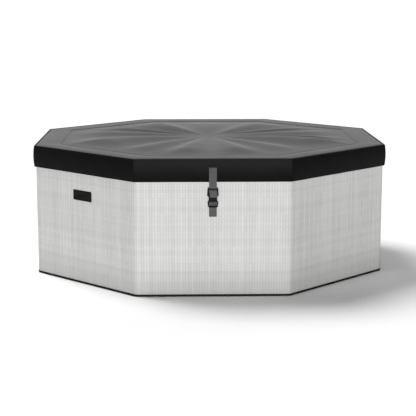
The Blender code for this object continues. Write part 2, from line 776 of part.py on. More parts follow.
def latch_arm(name, sign):
    """One springy arm of the plug, with the shoulder that catches in the socket's window."""
    top = SOCKET_TOP + 0.0005
    half = [
        (0.0135, top),
        (0.0155, SOCKET_TOP - 0.0100),
        (0.0165, SOCKET_TOP - 0.0215),
        (0.0185, SOCKET_TOP - 0.0232),
        (0.0240, SOCKET_TOP - 0.0222),
        (BUCKLE_HALF + 0.0018, SOCKET_TOP - 0.0180),
        (BUCKLE_HALF + 0.0023, SOCKET_TOP - 0.0145),
        (BUCKLE_HALF + 0.0016, SOCKET_TOP - 0.0122),
        (0.0200, SOCKET_TOP - 0.0122),
        (0.0195, SOCKET_TOP - 0.0100),
        (0.0175, top),
    ]
    near, far = -BUCKLE_OUT - PLUG_THICKNESS / 2, -BUCKLE_OUT + PLUG_THICKNESS / 2
    arm = prism(name, [[(sign * x, z) for x, z in half]], near, far, BLACK_PLASTIC, axis="Y")
    return set_origin(arm, (sign * ARM_PIVOT_X, -BUCKLE_OUT, ARM_PIVOT_Z))


def copies_round(base, stem):
    """The front piece's finished shape, repeated on every buckled side."""
    made = {}
    front = made_mesh(base)
    for side, degrees in BUCKLED_SIDES.items():
        piece = front if degrees == 0 else bpy.data.objects.new(stem.format(side), front.data)
        if degrees:
            piece.matrix_world = front.matrix_world
            PARTS.objects.link(piece)
            turn_to(piece, degrees)
        made[side] = piece
    front.name = stem.format("front")
    return made


def buckles():
    """Four straps with side-release buckles. Returns the pieces that ride on the lid."""
    copies_round(lower_strap(), "lower_strap_{}")
    copies_round(buckle_socket(), "buckle_socket_{}")
    on_lid = list(copies_round(upper_strap(), "upper_strap_{}").values())
    on_lid += copies_round(buckle_plug(), "buckle_plug_{}").values()
    for hand, sign in (("left", -1), ("right", 1)):
        arms = copies_round(latch_arm(f"latch_arm_{hand}_front", sign), f"latch_arm_{hand}_{{}}")
        on_lid += arms.values()
    return on_lid


# ------------------------------------------------------------------ drain, on the right side
def drain():
    """A valve body through the wall, and the cap that turns on its spout."""
    spout_end = WALL_APOTHEM + 0.0135
    outer_flange = WALL_APOTHEM + CLEAR
    inner_flange = WATER_FACE - CLEAR
    profile = [
        (0.0135, spout_end),
        (0.0135, outer_flange + 0.003),
        (0.0240, outer_flange + 0.003),
        (0.0240, outer_flange),
        (PIPE_RADIUS, outer_flange),
        (PIPE_RADIUS, inner_flange),
        (0.0190, inner_flange),
        (0.0180, inner_flange - 0.003),
        (PIPE_BORE, inner_flange - 0.003),
        (PIPE_BORE, spout_end),
    ]
    at = (0, DRAIN_Y, DRAIN_Z)
    turned("drain_valve", profile, GREY_PLASTIC, ring=True, direction=(1, 0, 0), at=at)
    wall = 0.0025
    cap_low = outer_flange + 0.003 + CLEAR
    cap_top = spout_end + CLEAR + wall
    cap_profile = [
        (0, cap_top),
        (CAP_RADIUS - 0.002, cap_top),
        (CAP_RADIUS, cap_top - 0.002),
        (CAP_RADIUS, cap_low),
        (0.0135 + CLEAR, cap_low),
        (0.0135 + CLEAR, cap_top - wall),
        (0, cap_top - wall),
    ]
    turned("drain_cap", cap_profile, BLACK_PLASTIC, steps=12, direction=(1, 0, 0), at=at)


# ------------------------------------------------------------------ water fittings on the back wall, inside
def filter_unit():
    """Suction fitting, pleated cartridge and slotted cap on the liner's back wall."""
    face = WATER_FACE - CLEAR
    collar = 0.014
    tail_end = BAY_INNER + 0.016
    base = [
        (0.0440, -face + 0.006 + collar),
        (0.0440, -face + 0.006),
        (0.0560, -face + 0.006),
        (0.0560, -face),
        (PIPE_RADIUS, -face),
        (PIPE_RADIUS, -tail_end),
        (PIPE_BORE, -tail_end),
        (PIPE_BORE, -face + 0.004),
        (0.0410, -face + 0.004),
        (0.0410, -face + 0.006 + collar),
    ]
    at = (PUMP_X, 0, PUMP_Z)
    turned("filter_housing", base, GREY_PLASTIC, ring=True, direction=(0, -1, 0), at=at)
    pleats = []
    for pleat in range(2 * PLEATS):
        radius = CARTRIDGE_RADIUS if pleat % 2 else CARTRIDGE_RADIUS - 0.008
        angle = math.pi * pleat / PLEATS
        pleats.append((PUMP_X + radius * math.cos(angle), PUMP_Z + radius * math.sin(angle)))
    bore = arc((PUMP_X, PUMP_Z), CARTRIDGE_BORE, 0, 330, 11)
    cartridge_high = face - 0.006 - collar - CLEAR
    cartridge_low = face - FILTER_LENGTH + 0.006
    outlines = [pleats, bore]
    cartridge = prism("filter_cartridge", outlines, cartridge_low, cartridge_high, FILTER_PAPER, axis="Y")
    set_origin(cartridge, (PUMP_X, cartridge_high, PUMP_Z))
    wall = 0.003
    mouth = -face + 0.006 + 0.001
    crown = -face + FILTER_LENGTH
    cup = [
        (0, crown),
        (FILTER_RADIUS - 0.008, crown),
        (FILTER_RADIUS, crown - 0.006),
        (FILTER_RADIUS, mouth),
        (FILTER_RADIUS - wall, mouth),
        (FILTER_RADIUS - wall, crown - wall - 0.004),
        (FILTER_RADIUS - wall - 0.006, crown - wall),
        (0, crown - wall),
    ]
    cap = turned("filter_cap", cup, GREY_PLASTIC, direction=(0, -1, 0), at=at)
    slots = []
    for number in range(4):
        slot = block(
            f"filter_slot_{number}",
            (-0.08, -0.006, -0.028),
            (0.08, 0.006, 0.028),
            cutter=True,
        )
        slot.rotation_euler = (math.pi / 2, math.pi / 4 * (number + 0.5), 0)
        slot.location = (PUMP_X, face - FILTER_LENGTH / 2 - 0.002, PUMP_Z)
        slots.append(slot)
    cut(cap, *slots)


def return_nozzle():
    """The fitting that sends warm water back into the tub."""
    face = WATER_FACE - CLEAR
    tail_end = BAY_INNER + 0.012
    profile = [
        (0.0150, -face + 0.016),
        (0.0220, -face + 0.010),
        (0.0300, -face + 0.004),
        (0.0300, -face),
        (PIPE_RADIUS, -face),
        (PIPE_RADIUS, -tail_end),
        (PIPE_BORE, -tail_end),
        (PIPE_BORE, -face + 0.016),
    ]
    return turned(
        "return_nozzle", profile, GREY_PLASTIC, ring=True, direction=(0, -1, 0), at=(RETURN_X, 0, HEATER_Z)
    )


# ------------------------------------------------------------------ equipment in the bay
def bladed_wheel(name, x, z, near, far, hub, tip, blades, material):
    """A wheel of straight swept blades on a hub, turning about Y."""
    outline = []
    sweep = math.radians(28)
    width = math.radians(360 / blades * 0.16)
    for blade in range(blades):
        root = 2 * math.pi * blade / blades
        for radius, angle in (
            (hub, root - width * 1.6),
            (tip, root + sweep - width),
            (tip, root + sweep + width * 0.4),
            (hub, root + width * 1.6),
        ):
            outline.append((x + radius * math.cos(angle), z + radius * math.sin(angle)))
    wheel = prism(name, [outline], near, far, material, axis="Y")
    return set_origin(wheel, (x, (near + far) / 2, z))


def pump():
    """Volute and motor in one housing, with the impeller in the volute."""
    near = BAY_INNER + 0.008
    far = near + VOLUTE_DEPTH
    volute = rod("pump_housing", (PUMP_X, near, PUMP_Z), (PUMP_X, far, PUMP_Z), VOLUTE_RADIUS, GREY_PLASTIC)
    motor_end = far + MOTOR_LENGTH
    motor = rod("motor_can", (PUMP_X, far - 0.002, PUMP_Z), (PUMP_X, motor_end, PUMP_Z), MOTOR_RADIUS)
    middle = (near + far) / 2
    outlet_top = HEATER_Z - HEATER_RADIUS - 0.009
    outlet = (PUMP_X, middle, PUMP_Z + 0.03), (PUMP_X, middle, outlet_top)
    spigot = rod("pump_outlet", *outlet, PIPE_RADIUS, vertices=16)
    housing = joined(volute, motor, spigot)
    cavity = rod(
        "pump_cavity",
        (PUMP_X, near + 0.005, PUMP_Z),
        (PUMP_X, far - 0.005, PUMP_Z),
        IMPELLER_RADIUS + 0.008,
        cutter=True,
    )
    inlet = rod(
        "pump_inlet",
        (PUMP_X, near - 0.01, PUMP_Z),
        (PUMP_X, near + 0.01, PUMP_Z),
        PIPE_RADIUS + PIPE_CLEAR,
        cutter=True,
        vertices=16,
    )
    bore = rod(
        "pump_outlet_bore",
        (PUMP_X, middle, PUMP_Z + 0.02),
        (PUMP_X, middle, outlet_top + 0.01),
        PIPE_BORE,
        cutter=True,
        vertices=16,
    )
    cut(housing, cavity, inlet, bore)
    wheel = near + 0.013, far - 0.008
    bladed_wheel("pump_impeller", PUMP_X, PUMP_Z, *wheel, 0.012, IMPELLER_RADIUS, 6, BLACK_PLASTIC)


def heater():
    """A steel flow-through heater between the pump and the return nozzle."""
    centre = BAY_INNER + 0.008 + VOLUTE_DEPTH / 2
    end = 0.030
    left, right = PUMP_X - end, RETURN_X + end
    tube = rod("heater_tube", (left, centre, HEATER_Z), (right, centre, HEATER_Z), HEATER_RADIUS, STEEL)
    inlet_low = HEATER_Z - HEATER_RADIUS - 0.008
    foot, top = (PUMP_X, centre, inlet_low), (PUMP_X, centre, HEATER_Z)
    inlet = rod("heater_inlet", foot, top, PIPE_RADIUS, vertices=16)
    bore_radius = HEATER_RADIUS - HEATER_WALL
    body = joined(tube, inlet)
    first, last = (left + HEATER_WALL, centre, HEATER_Z), (right - HEATER_WALL, centre, HEATER_Z)
    inside = rod("heater_bore", first, last, bore_radius, cutter=True)
    below = (PUMP_X, centre, inlet_low - 0.01)
    inlet_bore = rod("heater_inlet_bore", below, top, PIPE_BORE, cutter=True, vertices=16)
    outlet = wall_passage("heater_outlet", RETURN_X, HEATER_Z, centre - HEATER_RADIUS - 0.02, centre)
    return cut(body, inside, inlet_bore, outlet)


def blower():
    """The bubble blower: a drum with its fan, an air inlet towards the hatch and an outlet downwards."""
    near = BAY_INNER + 0.020
    far = near + BLOWER_DEPTH
    middle = (near + far) / 2

    def on_axis(y):
        return BLOWER_X, y, BLOWER_Z

    drum = rod("blower_housing", on_axis(near), on_axis(far), BLOWER_RADIUS, BLACK_PLASTIC)
    spigot_low = BLOWER_Z - BLOWER_RADIUS - 0.002
    spigot_top = (HOSE_X, middle, BLOWER_Z)
    spigot = rod("blower_outlet", (HOSE_X, middle, spigot_low), spigot_top, HOSE_RADIUS + 0.0035, vertices=16)
    housing = joined(drum, spigot)
    fan_room = FAN_RADIUS + 0.008
    cavity = rod("blower_cavity", on_axis(near + 0.004), on_axis(far - 0.004), fan_room, cutter=True)
    inlet = rod("blower_inlet", on_axis(far - 0.01), on_axis(far + 0.01), BLOWER_RADIUS / 2, cutter=True)
    below = (HOSE_X, middle, spigot_low - 0.01)
    bore = rod("blower_bore", below, spigot_top, HOSE_RADIUS, cutter=True, vertices=16)
    cut(housing, cavity, inlet, bore)
    wheel = near + 0.008, far - 0.008
    bladed_wheel("blower_fan", BLOWER_X, BLOWER_Z, *wheel, 0.018, FAN_RADIUS, 10, GREY_PLASTIC)


def air_hose():
    """The hose from the blower down and through the wall to the bubble channel."""
    middle = BAY_INNER + 0.020 + BLOWER_DEPTH / 2
    start = BLOWER_Z - BLOWER_RADIUS - 0.003
    bend = min(HOSE_BEND, start - HOSE_STRAIGHT - CHANNEL_MIDDLE)
    turn = arc((middle - bend, CHANNEL_MIDDLE + bend), bend, 0, -90, 6)
    route = [(middle, start), *turn, (WATER_FACE + 0.0005, CHANNEL_MIDDLE)]
    curve = bpy.data.curves.new("air_hose", "CURVE")
    curve.dimensions = "3D"
    curve.bevel_depth = HOSE_RADIUS - 0.0002
    curve.bevel_resolution = 3
    curve.use_fill_caps = True
    spline = curve.splines.new("POLY")
    spline.points.add(len(route) - 1)
    for point, (y, z) in zip(spline.points, route):
        point.co = (HOSE_X, y, z, 1)
    hose = bpy.data.objects.new("air_hose", curve)
    PARTS.objects.link(hose)
    return place(hose, HOSE_RUBBER)


def equipment_hatch():
    """The vented plate over the bay, with the gland for the power lead."""
    half = BAY_HALF_WIDTH + HATCH_MARGIN
    low, high = BAY_LOW - HATCH_MARGIN, BAY_HIGH + HATCH_MARGIN
    near = WALL_APOTHEM + CLEAR
    far = near + HATCH_THICKNESS
    plate = block("equipment_hatch", (-half, near, low), (half, far, high), BLACK_PLASTIC)
    bevelled(plate, 0.002, 1)
    slots = []
    for number in range(LOUVRES):
        z = BLOWER_Z + LOUVRE_PITCH * (number - (LOUVRES - 1) / 2)
        slots.append(
            block(
                f"louvre_{number}",
                (BLOWER_X - 0.065, near - 0.01, z - 0.0035),
                (BLOWER_X + 0.065, far + 0.01, z + 0.0035),
                cutter=True,
            )
        )
    gland_x, gland_z = -0.190, BAY_LOW + 0.025
    hole = wall_passage("gland_hole", gland_x, gland_z, near - 0.01, far + 0.01, 0.008)
    cut(plate, *slots, hole)
    nut = far + CLEAR
    profile = [
        (0.0070, nut + 0.010),
        (0.0115, nut + 0.007),
        (0.0125, nut),
        (0.0080, nut),
        (0.0080, near - 0.008),
        (0.0042, near - 0.008),
        (0.0042, nut + 0.010),
    ]
    at = (gland_x, 0, gland_z)
    turned("power_gland", profile, BLACK_PLASTIC, steps=16, ring=True, direction=(0, 1, 0), at=at)


# ------------------------------------------------------------------ control panel in the rim
def control_panel():
    """A panel let into the rim, with four keys in a row."""
    top = RIM_TOP + 0.0003 + PANEL_FLANGE
    half_x, half_y = PANEL_SIZE[0] / 2, PANEL_SIZE[1] / 2
    inset = 0.006
    flange_low = (-half_x, PANEL_Y - half_y, top - PANEL_FLANGE)
    flange = block("control_panel", flange_low, (half_x, PANEL_Y + half_y, top), BLACK_PLASTIC)
    body = block(
        "panel_body",
        (-half_x + inset, PANEL_Y - half_y + inset, RIM_TOP - 0.0215),
        (half_x - inset, PANEL_Y + half_y - inset, top - PANEL_FLANGE / 2),
    )
    panel = joined(flange, body)
    recess = (-0.034, PANEL_Y + 0.006, top - 0.001), (0.034, PANEL_Y + 0.034, top + 0.01)
    cutters = [block("display_recess", *recess, cutter=True)]
    key_y = PANEL_KEY_ROW
    for number, key_name in enumerate(KEY_NAMES):
        x = 0.034 * (number - (len(KEY_NAMES) - 1) / 2)
        reach_x, reach_y = KEY_SIZE[0] / 2, KEY_SIZE[1] / 2
        well = (reach_x + CLEAR, reach_y + CLEAR)
        cutters.append(
            block(
                f"key_well_{key_name}",
                (x - well[0], key_y - well[1], top - 0.006),
                (x + well[0], key_y + well[1], top + 0.01),
                cutter=True,
            )
        )
        key_top = top + 0.0004
        key_low = top - 0.006 + KEY_TRAVEL + CLEAR
        low, high = (x - reach_x, key_y - reach_y, key_low), (x + reach_x, key_y + reach_y, key_top)
        key = block(f"key_{key_name}", low, high, GREY_PLASTIC)
        bevelled(key, 0.0008, 1)
    return cut(panel, *cutters)


# ------------------------------------------------------------------ the whole tub
def build():
    ground_sheet()
    outer_jacket()
    foam_panels()
    floor_pad()
    liner()
    bubble_channel()
    blank_patch()
    lid_pieces = [lid_top(), lid_skirt(), lid_air_insert(), *buckles()]
    keep_under(hinge_empty("lid_lift_axis", (0, 0, RIM_TOP)), *lid_pieces)
    drain()
    filter_unit()
    return_nozzle()
    pump()
    heater()
    blower()
    air_hose()
    equipment_hatch()
    control_panel()


build()
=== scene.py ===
"""Looks of an octagonal garden hot tub: woven-look walls, a dark stitched lid with radial folds, webbing with
buckles, and the fittings inside the tub and behind its hatch."""

import json
import math
from functools import partialmethod

import bmesh
import bpy
import numpy as np
from mathutils import Matrix, Vector


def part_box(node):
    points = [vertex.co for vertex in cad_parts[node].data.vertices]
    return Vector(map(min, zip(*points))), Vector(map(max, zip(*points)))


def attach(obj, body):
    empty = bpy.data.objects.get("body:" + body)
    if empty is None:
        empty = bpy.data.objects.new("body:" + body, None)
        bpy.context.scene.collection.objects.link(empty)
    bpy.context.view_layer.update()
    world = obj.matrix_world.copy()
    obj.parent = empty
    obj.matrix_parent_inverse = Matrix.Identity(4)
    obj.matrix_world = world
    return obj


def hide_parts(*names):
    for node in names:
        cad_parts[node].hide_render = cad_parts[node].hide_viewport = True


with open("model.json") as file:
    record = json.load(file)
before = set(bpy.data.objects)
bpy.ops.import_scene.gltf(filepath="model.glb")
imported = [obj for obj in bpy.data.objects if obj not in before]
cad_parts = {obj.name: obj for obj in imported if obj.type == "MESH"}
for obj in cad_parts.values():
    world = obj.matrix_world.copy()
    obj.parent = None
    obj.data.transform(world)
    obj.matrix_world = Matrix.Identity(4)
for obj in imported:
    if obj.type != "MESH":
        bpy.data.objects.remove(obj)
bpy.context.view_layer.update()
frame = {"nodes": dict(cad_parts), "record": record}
CAD = frame["nodes"]
SLOT_OF = {part["node"]: part["material_slot"] for part in frame["record"]["subparts"]}
BUCKLED_SIDES = {"front": 0, "right": 90, "back": 180, "left": 270}
EIGHTH = math.pi / 4
HALF_SIDE = math.tan(EIGHTH / 2)


def tuned(thing, **values):
    """Sets a thing's attributes by name."""
    for name, value in values.items():
        setattr(thing, name, value)
    return thing


# ---- shader expressions
class Socket:
    """A node's output, or a plain number, that takes part in arithmetic by adding Math nodes."""

    def __init__(self, nodes, link):
        self.nodes, self.link = nodes, link

    def math(self, operation, *others):
        return self.nodes.node("Math", dict(operation=operation), [self, *others])

    def __rsub__(self, other):
        return self.nodes.node("Math", dict(operation="SUBTRACT"), [other, self])

    __add__ = __radd__ = partialmethod(math, "ADD")
    __sub__ = partialmethod(math, "SUBTRACT")
    __mul__ = __rmul__ = partialmethod(math, "MULTIPLY")
    __truediv__ = partialmethod(math, "DIVIDE")
    __pow__ = partialmethod(math, "POWER")

    def ramp(self, low, high):
        """0 below low, 1 above high and smooth between."""
        inputs = {"Value": self, "From Min": low, "From Max": high}
        return self.nodes.node("MapRange", dict(interpolation_type="SMOOTHSTEP"), inputs)


class Nodes:
    """A node tree and short ways to add nodes to it."""

    def __init__(self, tree):
        self.tree = tree

    def node(self, kind, settings=None, inputs=(), output=0):
        made = tuned(self.tree.nodes.new("ShaderNode" + kind), **(settings or {}))
        pairs = inputs.items() if isinstance(inputs, dict) else enumerate(inputs)
        for key, value in pairs:
            self.put(made.inputs[key], value)
        return Socket(self, made.outputs[output])

    def put(self, socket, value):
        if isinstance(value, Socket):
            self.tree.links.new(value.link, socket)
        elif isinstance(value, tuple) and len(value) == 3 and socket.type == "RGBA":
            socket.default_value = (*value, 1.0)
        else:
            socket.default_value = value

    def coordinates(self, which="Object"):
        return self.node("TexCoord", output=which)

    def axes(self, vector):
        made = self.node("SeparateXYZ", inputs=[vector])
        return [Socket(self, made.link.node.outputs[i]) for i in range(3)]

    def joined(self, x, y, z=0.0):
        return self.node("CombineXYZ", inputs=[x, y, z])

    def stretched(self, vector, x, y, z):
        settings = dict(operation="MULTIPLY")
        return self.node("VectorMath", settings, [vector, (x, y, z)])

    def noise(self, vector, scale, detail=2.0, roughness=0.5):
        inputs = {"Vector": vector, "Scale": scale, "Detail": detail, "Roughness": roughness}
        return self.node("TexNoise", {}, inputs)

    def cells(self, vector, scale, feature="F1", randomness=1.0):
        inputs = {"Vector": vector, "Scale": scale, "Randomness": randomness}
        return self.node("TexVoronoi", dict(feature=feature), inputs)

    def cell_tints(self, vector, scale):
        """A fixed random colour for each cell."""
        return self.node("TexVoronoi", {}, {"Vector": vector, "Scale": scale}, output=1)

    def draw(self, number):
        """A fixed random number from 0 to 1 for each whole number."""
        return self.node("TexWhiteNoise", dict(noise_dimensions="1D"), {"W": number})

    def between(self, share, first, second):
        """A colour from first to second."""
        inputs = {6: first, 7: second, "Factor": share}
        return self.node("Mix", dict(data_type="RGBA"), inputs, output=2)


class Finish(Nodes):
    """A procedural material: one Principled shader and the expressions that feed it."""

    def __init__(self, name, **constants):
        self.material = tuned(bpy.data.materials.new(name), use_nodes=True)
        super().__init__(self.material.node_tree)
        self.shader = self.tree.nodes["Principled BSDF"]
        for socket, value in constants.items():
            self.shader.inputs[socket.replace("_", " ")].default_value = value

    def looks(self, colour=None, roughness=None, height=None, depth=0.001, strength=1.0, metallic=None):
        for socket, value in (("Base Color", colour), ("Roughness", roughness), ("Metallic", metallic)):
            if value is not None:
                self.put(self.shader.inputs[socket], value)
        if height is not None:
            inputs = {"Height": height, "Distance": depth, "Strength": strength}
            bump = self.node("Bump", {}, inputs)
            self.put(self.shader.inputs["Normal"], bump)
        return self.material


def started(name, level, **constants):
    """A finish of the given specular level, and the place in the object that its pattern goes by."""
    finish = Finish(name, Specular_IOR_Level=level, **constants)
    return finish, finish.coordinates()


def strand(position, pitch):
    """0 in the gaps between strands and 1 along the middle of each."""
    return (position * (math.pi / pitch)).math("SINE").math("ABSOLUTE")


def woven_vinyl():
    """Off-white vinyl embossed and printed like a tight basket weave, its strands in differing shades."""
    finish = Finish("woven_vinyl", Specular_IOR_Level=0.3)
    across, up, _ = finish.axes(finish.coordinates("UV"))
    upright, level = 0.0136, 0.0135
    column, row = (across / upright).math("FLOOR"), (up / level).math("FLOOR")
    over = (column + row).math("PINGPONG", 1.0)
    warp, weft = strand(across, upright) ** 0.6, strand(up, level) ** 0.6
    relief = warp * over + weft * (1 - over) * 0.7
    long_bands = (up / (level * 6)).math("FLOOR")
    shade = finish.draw(column) * 0.17 + finish.draw(row + 517) * 0.12
    shade = shade + finish.draw(column * 7 + long_bands * 13) * 0.10
    pairs = (up / (level * 4)).math("PINGPONG", 0.5)
    shade = shade + relief * 0.16 + warp * 0.26 + pairs * 0.14 + finish.noise(finish.coordinates(), 3.0) * 0.2
    # Painted shade: the wall's colour darkens over its lowest 0.2 m towards a darker grey, standing in for
    # the shade along the floor.
    dust_and_painted_shade = 1 - up.ramp(0.0, 0.20)
    weave_tone = finish.between(shade.ramp(0.05, 1.05), (0.322, 0.322, 0.315), (0.498, 0.498, 0.488))
    colour = finish.between(dust_and_painted_shade * 0.42, weave_tone, (0.26, 0.256, 0.248))
    fibres = finish.noise(finish.joined(across * 900, up * 120), 1.0)
    return finish.looks(colour, 0.62 - relief * 0.12, relief + fibres * 0.12, depth=0.0005, strength=0.6)


def lid_vinyl(name="lid_vinyl", level=0.11, sheen=0.06):
    """Black coated fabric with a fine pebble grain."""
    finish, place = started(name, level, Sheen_Weight=sheen, Sheen_Roughness=0.3)
    grain = finish.cells(place, 700.0, "SMOOTH_F1") * 0.6 + finish.noise(place, 1500.0) * 0.4
    patches = finish.noise(place, 5.0, 3.0)
    colour = finish.between(patches, (0.0018, 0.0018, 0.0021), (0.0034, 0.0034, 0.0038))
    return finish.looks(colour, 0.40 + patches * 0.10 + grain * 0.05, grain, depth=0.00008, strength=0.5)


def base_vinyl():
    finish, place = started("base_vinyl", 0.12)
    grain = finish.cells(place, 450.0, "SMOOTH_F1")
    dust_and_painted_shade = finish.noise(place, 30.0, 4.0).ramp(0.45, 0.8)
    colour = finish.between(dust_and_painted_shade, (0.0025, 0.0025, 0.0026), (0.007, 0.0068, 0.0064))
    return finish.looks(colour, 0.5 + dust_and_painted_shade * 0.2, grain, depth=0.0001)


def liner_vinyl():
    """Pale grey vinyl with a soft mottle and a fine pressed grain."""
    finish, place = started("liner_vinyl", 0.45)
    bend = finish.noise(place, 6.0, 4.0)
    veins = finish.noise(finish.stretched(place, 1.0, 1.0, 1.6), 11.0, 6.0, 0.62)
    mottle = (veins * 0.7 + bend * 0.3).ramp(0.30, 0.70)
    colour = finish.between(mottle, (0.335, 0.350, 0.362), (0.435, 0.450, 0.460))
    grain = finish.cells(place, 320.0, "SMOOTH_F1")
    return finish.looks(colour, 0.34 + grain * 0.1, grain, depth=0.00012, strength=0.7)


def foam():
    """White bead foam: packed cells a few millimetres across."""
    finish, place = started("foam", 0.2)
    edges = finish.cells(place, 210.0, "DISTANCE_TO_EDGE")
    beads, _, _ = finish.axes(finish.cell_tints(place, 210.0))
    seam = edges.ramp(0.0, 0.09)
    colour = finish.between(seam * 0.7 + beads * 0.3, (0.58, 0.58, 0.56), (0.80, 0.80, 0.78))
    return finish.looks(colour, 0.9, seam, depth=0.0004)


def insert_film():
    """Grey coated film of the air insert, slightly shiny."""
    finish, place = started("insert_film", 0.5)
    crinkle = finish.noise(place, 60.0, 4.0)
    thread = 0.0012
    threads = strand(finish.axes(place)[0], thread) * strand(finish.axes(place)[1], thread)
    colour = finish.between(crinkle.ramp(0.3, 0.7), (0.30, 0.315, 0.335), (0.36, 0.375, 0.395))
    return finish.looks(colour, 0.30 + crinkle * 0.12, crinkle + threads * 0.08, depth=0.0006, strength=0.5)


def webbing():
    """Grey polypropylene webbing with a herringbone rib, on the strap's own length and width."""
    finish = Finish("webbing", Specular_IOR_Level=0.25)
    across, along, _ = finish.axes(finish.coordinates("UV"))
    rib, yarn = 0.0021, 0.0014
    lean = (across / 0.0095).math("PINGPONG", 1.0) * 0.0048
    twill = strand(along + lean, rib)
    yarns = strand(across, yarn)
    relief = twill * 0.7 + yarns * 0.3
    fuzz = finish.noise(finish.joined(across * 4000, along * 900), 1.0)
    lit = (relief * 0.7 + fuzz * 0.3).ramp(0.15, 0.95)
    colour = finish.between(lit, (0.028, 0.028, 0.029), (0.100, 0.100, 0.102))
    return finish.looks(colour, 0.82, relief + fuzz * 0.3, depth=0.0004)


def moulded(name, low, high, roughness=0.42, grain=900.0, level=0.4):
    """Moulded plastic with a fine spark-eroded texture and a little scuffing."""
    finish, place = started(name, level)
    texture = finish.noise(place, grain, 3.0)
    scuffs = finish.noise(finish.stretched(place, 1.0, 1.0, 0.3), 90.0, 5.0, 0.7).ramp(0.55, 0.8)
    colour = finish.between(scuffs, low, high)
    rough = roughness + texture * 0.08 + scuffs * 0.1
    return finish.looks(colour, rough, texture, depth=0.00006, strength=0.6)


def filter_paper():
    finish, place = started("filter_paper", 0.1)
    fibres = finish.noise(place, 500.0, 5.0, 0.7)
    colour = finish.between(fibres, (0.62, 0.66, 0.70), (0.86, 0.88, 0.90))
    return finish.looks(colour, 0.92, fibres, depth=0.0003)


def brushed_steel():
    """Drawn tube: fine scratches along its length, with soft blotches in its tone."""
    finish = Finish("steel", Metallic=1.0)
    place = finish.coordinates()
    scratches = finish.noise(finish.stretched(place, 6.0, 900.0, 900.0), 1.0, 4.0, 0.7)
    blotches = finish.noise(place, 18.0)
    colour = finish.between(blotches, (0.50, 0.48, 0.45), (0.66, 0.65, 0.63))
    return finish.looks(colour, 0.22 + scratches * 0.2, scratches, depth=0.00005)


def hose_rubber():
    """Ribbed black hose: rings across its run."""
    finish = Finish("hose_rubber", Specular_IOR_Level=0.35)
    _, y, z = finish.axes(finish.coordinates())
    rings = strand(y - z, 0.0042)
    colour = finish.between(rings, (0.016, 0.016, 0.016), (0.040, 0.040, 0.040))
    return finish.looks(colour, 0.62, rings, depth=0.0009)


FINISHES = {
    "woven_vinyl": woven_vinyl(),
    "lid_vinyl": lid_vinyl(),
    "base_vinyl": base_vinyl(),
    "liner_vinyl": liner_vinyl(),
    "foam": foam(),
    "insert_film": insert_film(),
    "webbing": webbing(),
    "black_plastic": moulded("black_plastic", (0.0022, 0.0022, 0.0024), (0.0050, 0.0050, 0.0052), level=0.06),
    "grey_plastic": moulded("grey_plastic", (0.235, 0.245, 0.255), (0.30, 0.31, 0.32), 0.45),
    "filter_paper": filter_paper(),
    "steel": brushed_steel(),
    "hose_rubber": hose_rubber(),
}
THREAD = moulded("thread", (0.010, 0.010, 0.010), (0.030, 0.030, 0.030), 0.7, 3000.0, 0.2)
SKIRT_VINYL = lid_vinyl("skirt_vinyl", 0.045, 0.05)
BADGE_RUBBER = moulded("badge_rubber", (0.0014, 0.0014, 0.0015), (0.0040, 0.0040, 0.0042), 0.5, 1400.0, 0.12)
ICON_PRINT = moulded("icon_print", (0.62, 0.64, 0.66), (0.70, 0.72, 0.74), 0.5)
DISPLAY_GLASS = moulded("display_glass", (0.004, 0.005, 0.006), (0.006, 0.007, 0.009), 0.06, 60.0, 0.7)


# ---- modelling helpers
def clear_selection():
    if bpy.context.mode != "OBJECT":
        bpy.ops.object.mode_set(mode="OBJECT")
    bpy.ops.object.select_all(action="DESELECT")


def activated(obj):
    """The only piece selected, and the active one."""
    clear_selection()
    bpy.context.view_layer.objects.active = obj
    obj.select_set(True)
    return obj


def editing(obj):
    activated(obj)
    bpy.ops.object.mode_set(mode="EDIT")


def choose_faces(obj, wanted):
    """In edit mode, selects the faces that wanted says yes to, and no others."""
    work = bmesh.from_edit_mesh(obj.data)
    for face in work.faces:
        face.select = wanted(face)
    bmesh.update_edit_mesh(obj.data)


def stepped(obj, wanted, steps):
    """Insets the wanted faces and pushes them along Z, once for each pair of an inset and a push."""
    editing(obj)
    choose_faces(obj, wanted)
    for inset, push in steps:
        bpy.ops.mesh.inset(thickness=inset)
        bpy.ops.mesh.extrude_region_move(TRANSFORM_OT_translate={"value": (0, 0, push)})
    bpy.ops.object.mode_set(mode="OBJECT")


def primitive(kind, **settings):
    """A new mesh of Blender's own kinds, with nothing else selected."""
    clear_selection()
    getattr(bpy.ops.mesh, f"primitive_{kind}_add")(**settings)
    return bpy.context.object


def quarter_turn(axis):
    return Matrix.Rotation(math.pi / 2, 4, axis)


def halfway(low, high):
    return (low + high) / 2


def linked(obj):
    bpy.context.scene.collection.objects.link(obj)
    return obj


def named(obj, name):
    obj.name = obj.data.name = name
    return obj


def coated(obj, finish):
    obj.data.materials.clear()
    obj.data.materials.append(finish)


def finished(obj, body, slot, finish=None, stands_for=()):
    """Sits the object at the origin with its place in its mesh, and gives it its body and finish."""
    clear_selection()
    obj.data.transform(obj.matrix_world)
    obj.matrix_world = Matrix.Identity(4)
    coated(obj, finish or FINISHES[slot])
    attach(obj, body)
    if stands_for:
        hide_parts(*stands_for)
    return obj


def applied(obj, kind, **settings):
    """Adds a modifier and applies it."""
    activated(obj)
    modifier = tuned(obj.modifiers.new(kind.lower(), kind), **settings)
    bpy.ops.object.modifier_apply(modifier=modifier.name)
    return obj


def smoothed(obj, degrees=35):
    activated(obj)
    bpy.ops.object.shade_smooth_by_angle(angle=math.radians(degrees))
    return obj


def points_of(obj):
    flat = np.zeros(len(obj.data.vertices) * 3)
    obj.data.vertices.foreach_get("co", flat)
    return flat.reshape(-1, 3)


def set_points(obj, points):
    obj.data.vertices.foreach_set("co", np.ascontiguousarray(points, np.float32).ravel())
    obj.data.update()


def widened(obj, points, factor):
    """Moves the points out from the vertical axis, each by its own factor, and gives them to the object."""
    points[:, :2] *= factor[:, None]
    set_points(obj, points)


def smooth_step(value, low, high):
    share = np.clip((value - low) / (high - low), 0, 1)
    return share * share * (3 - 2 * share)


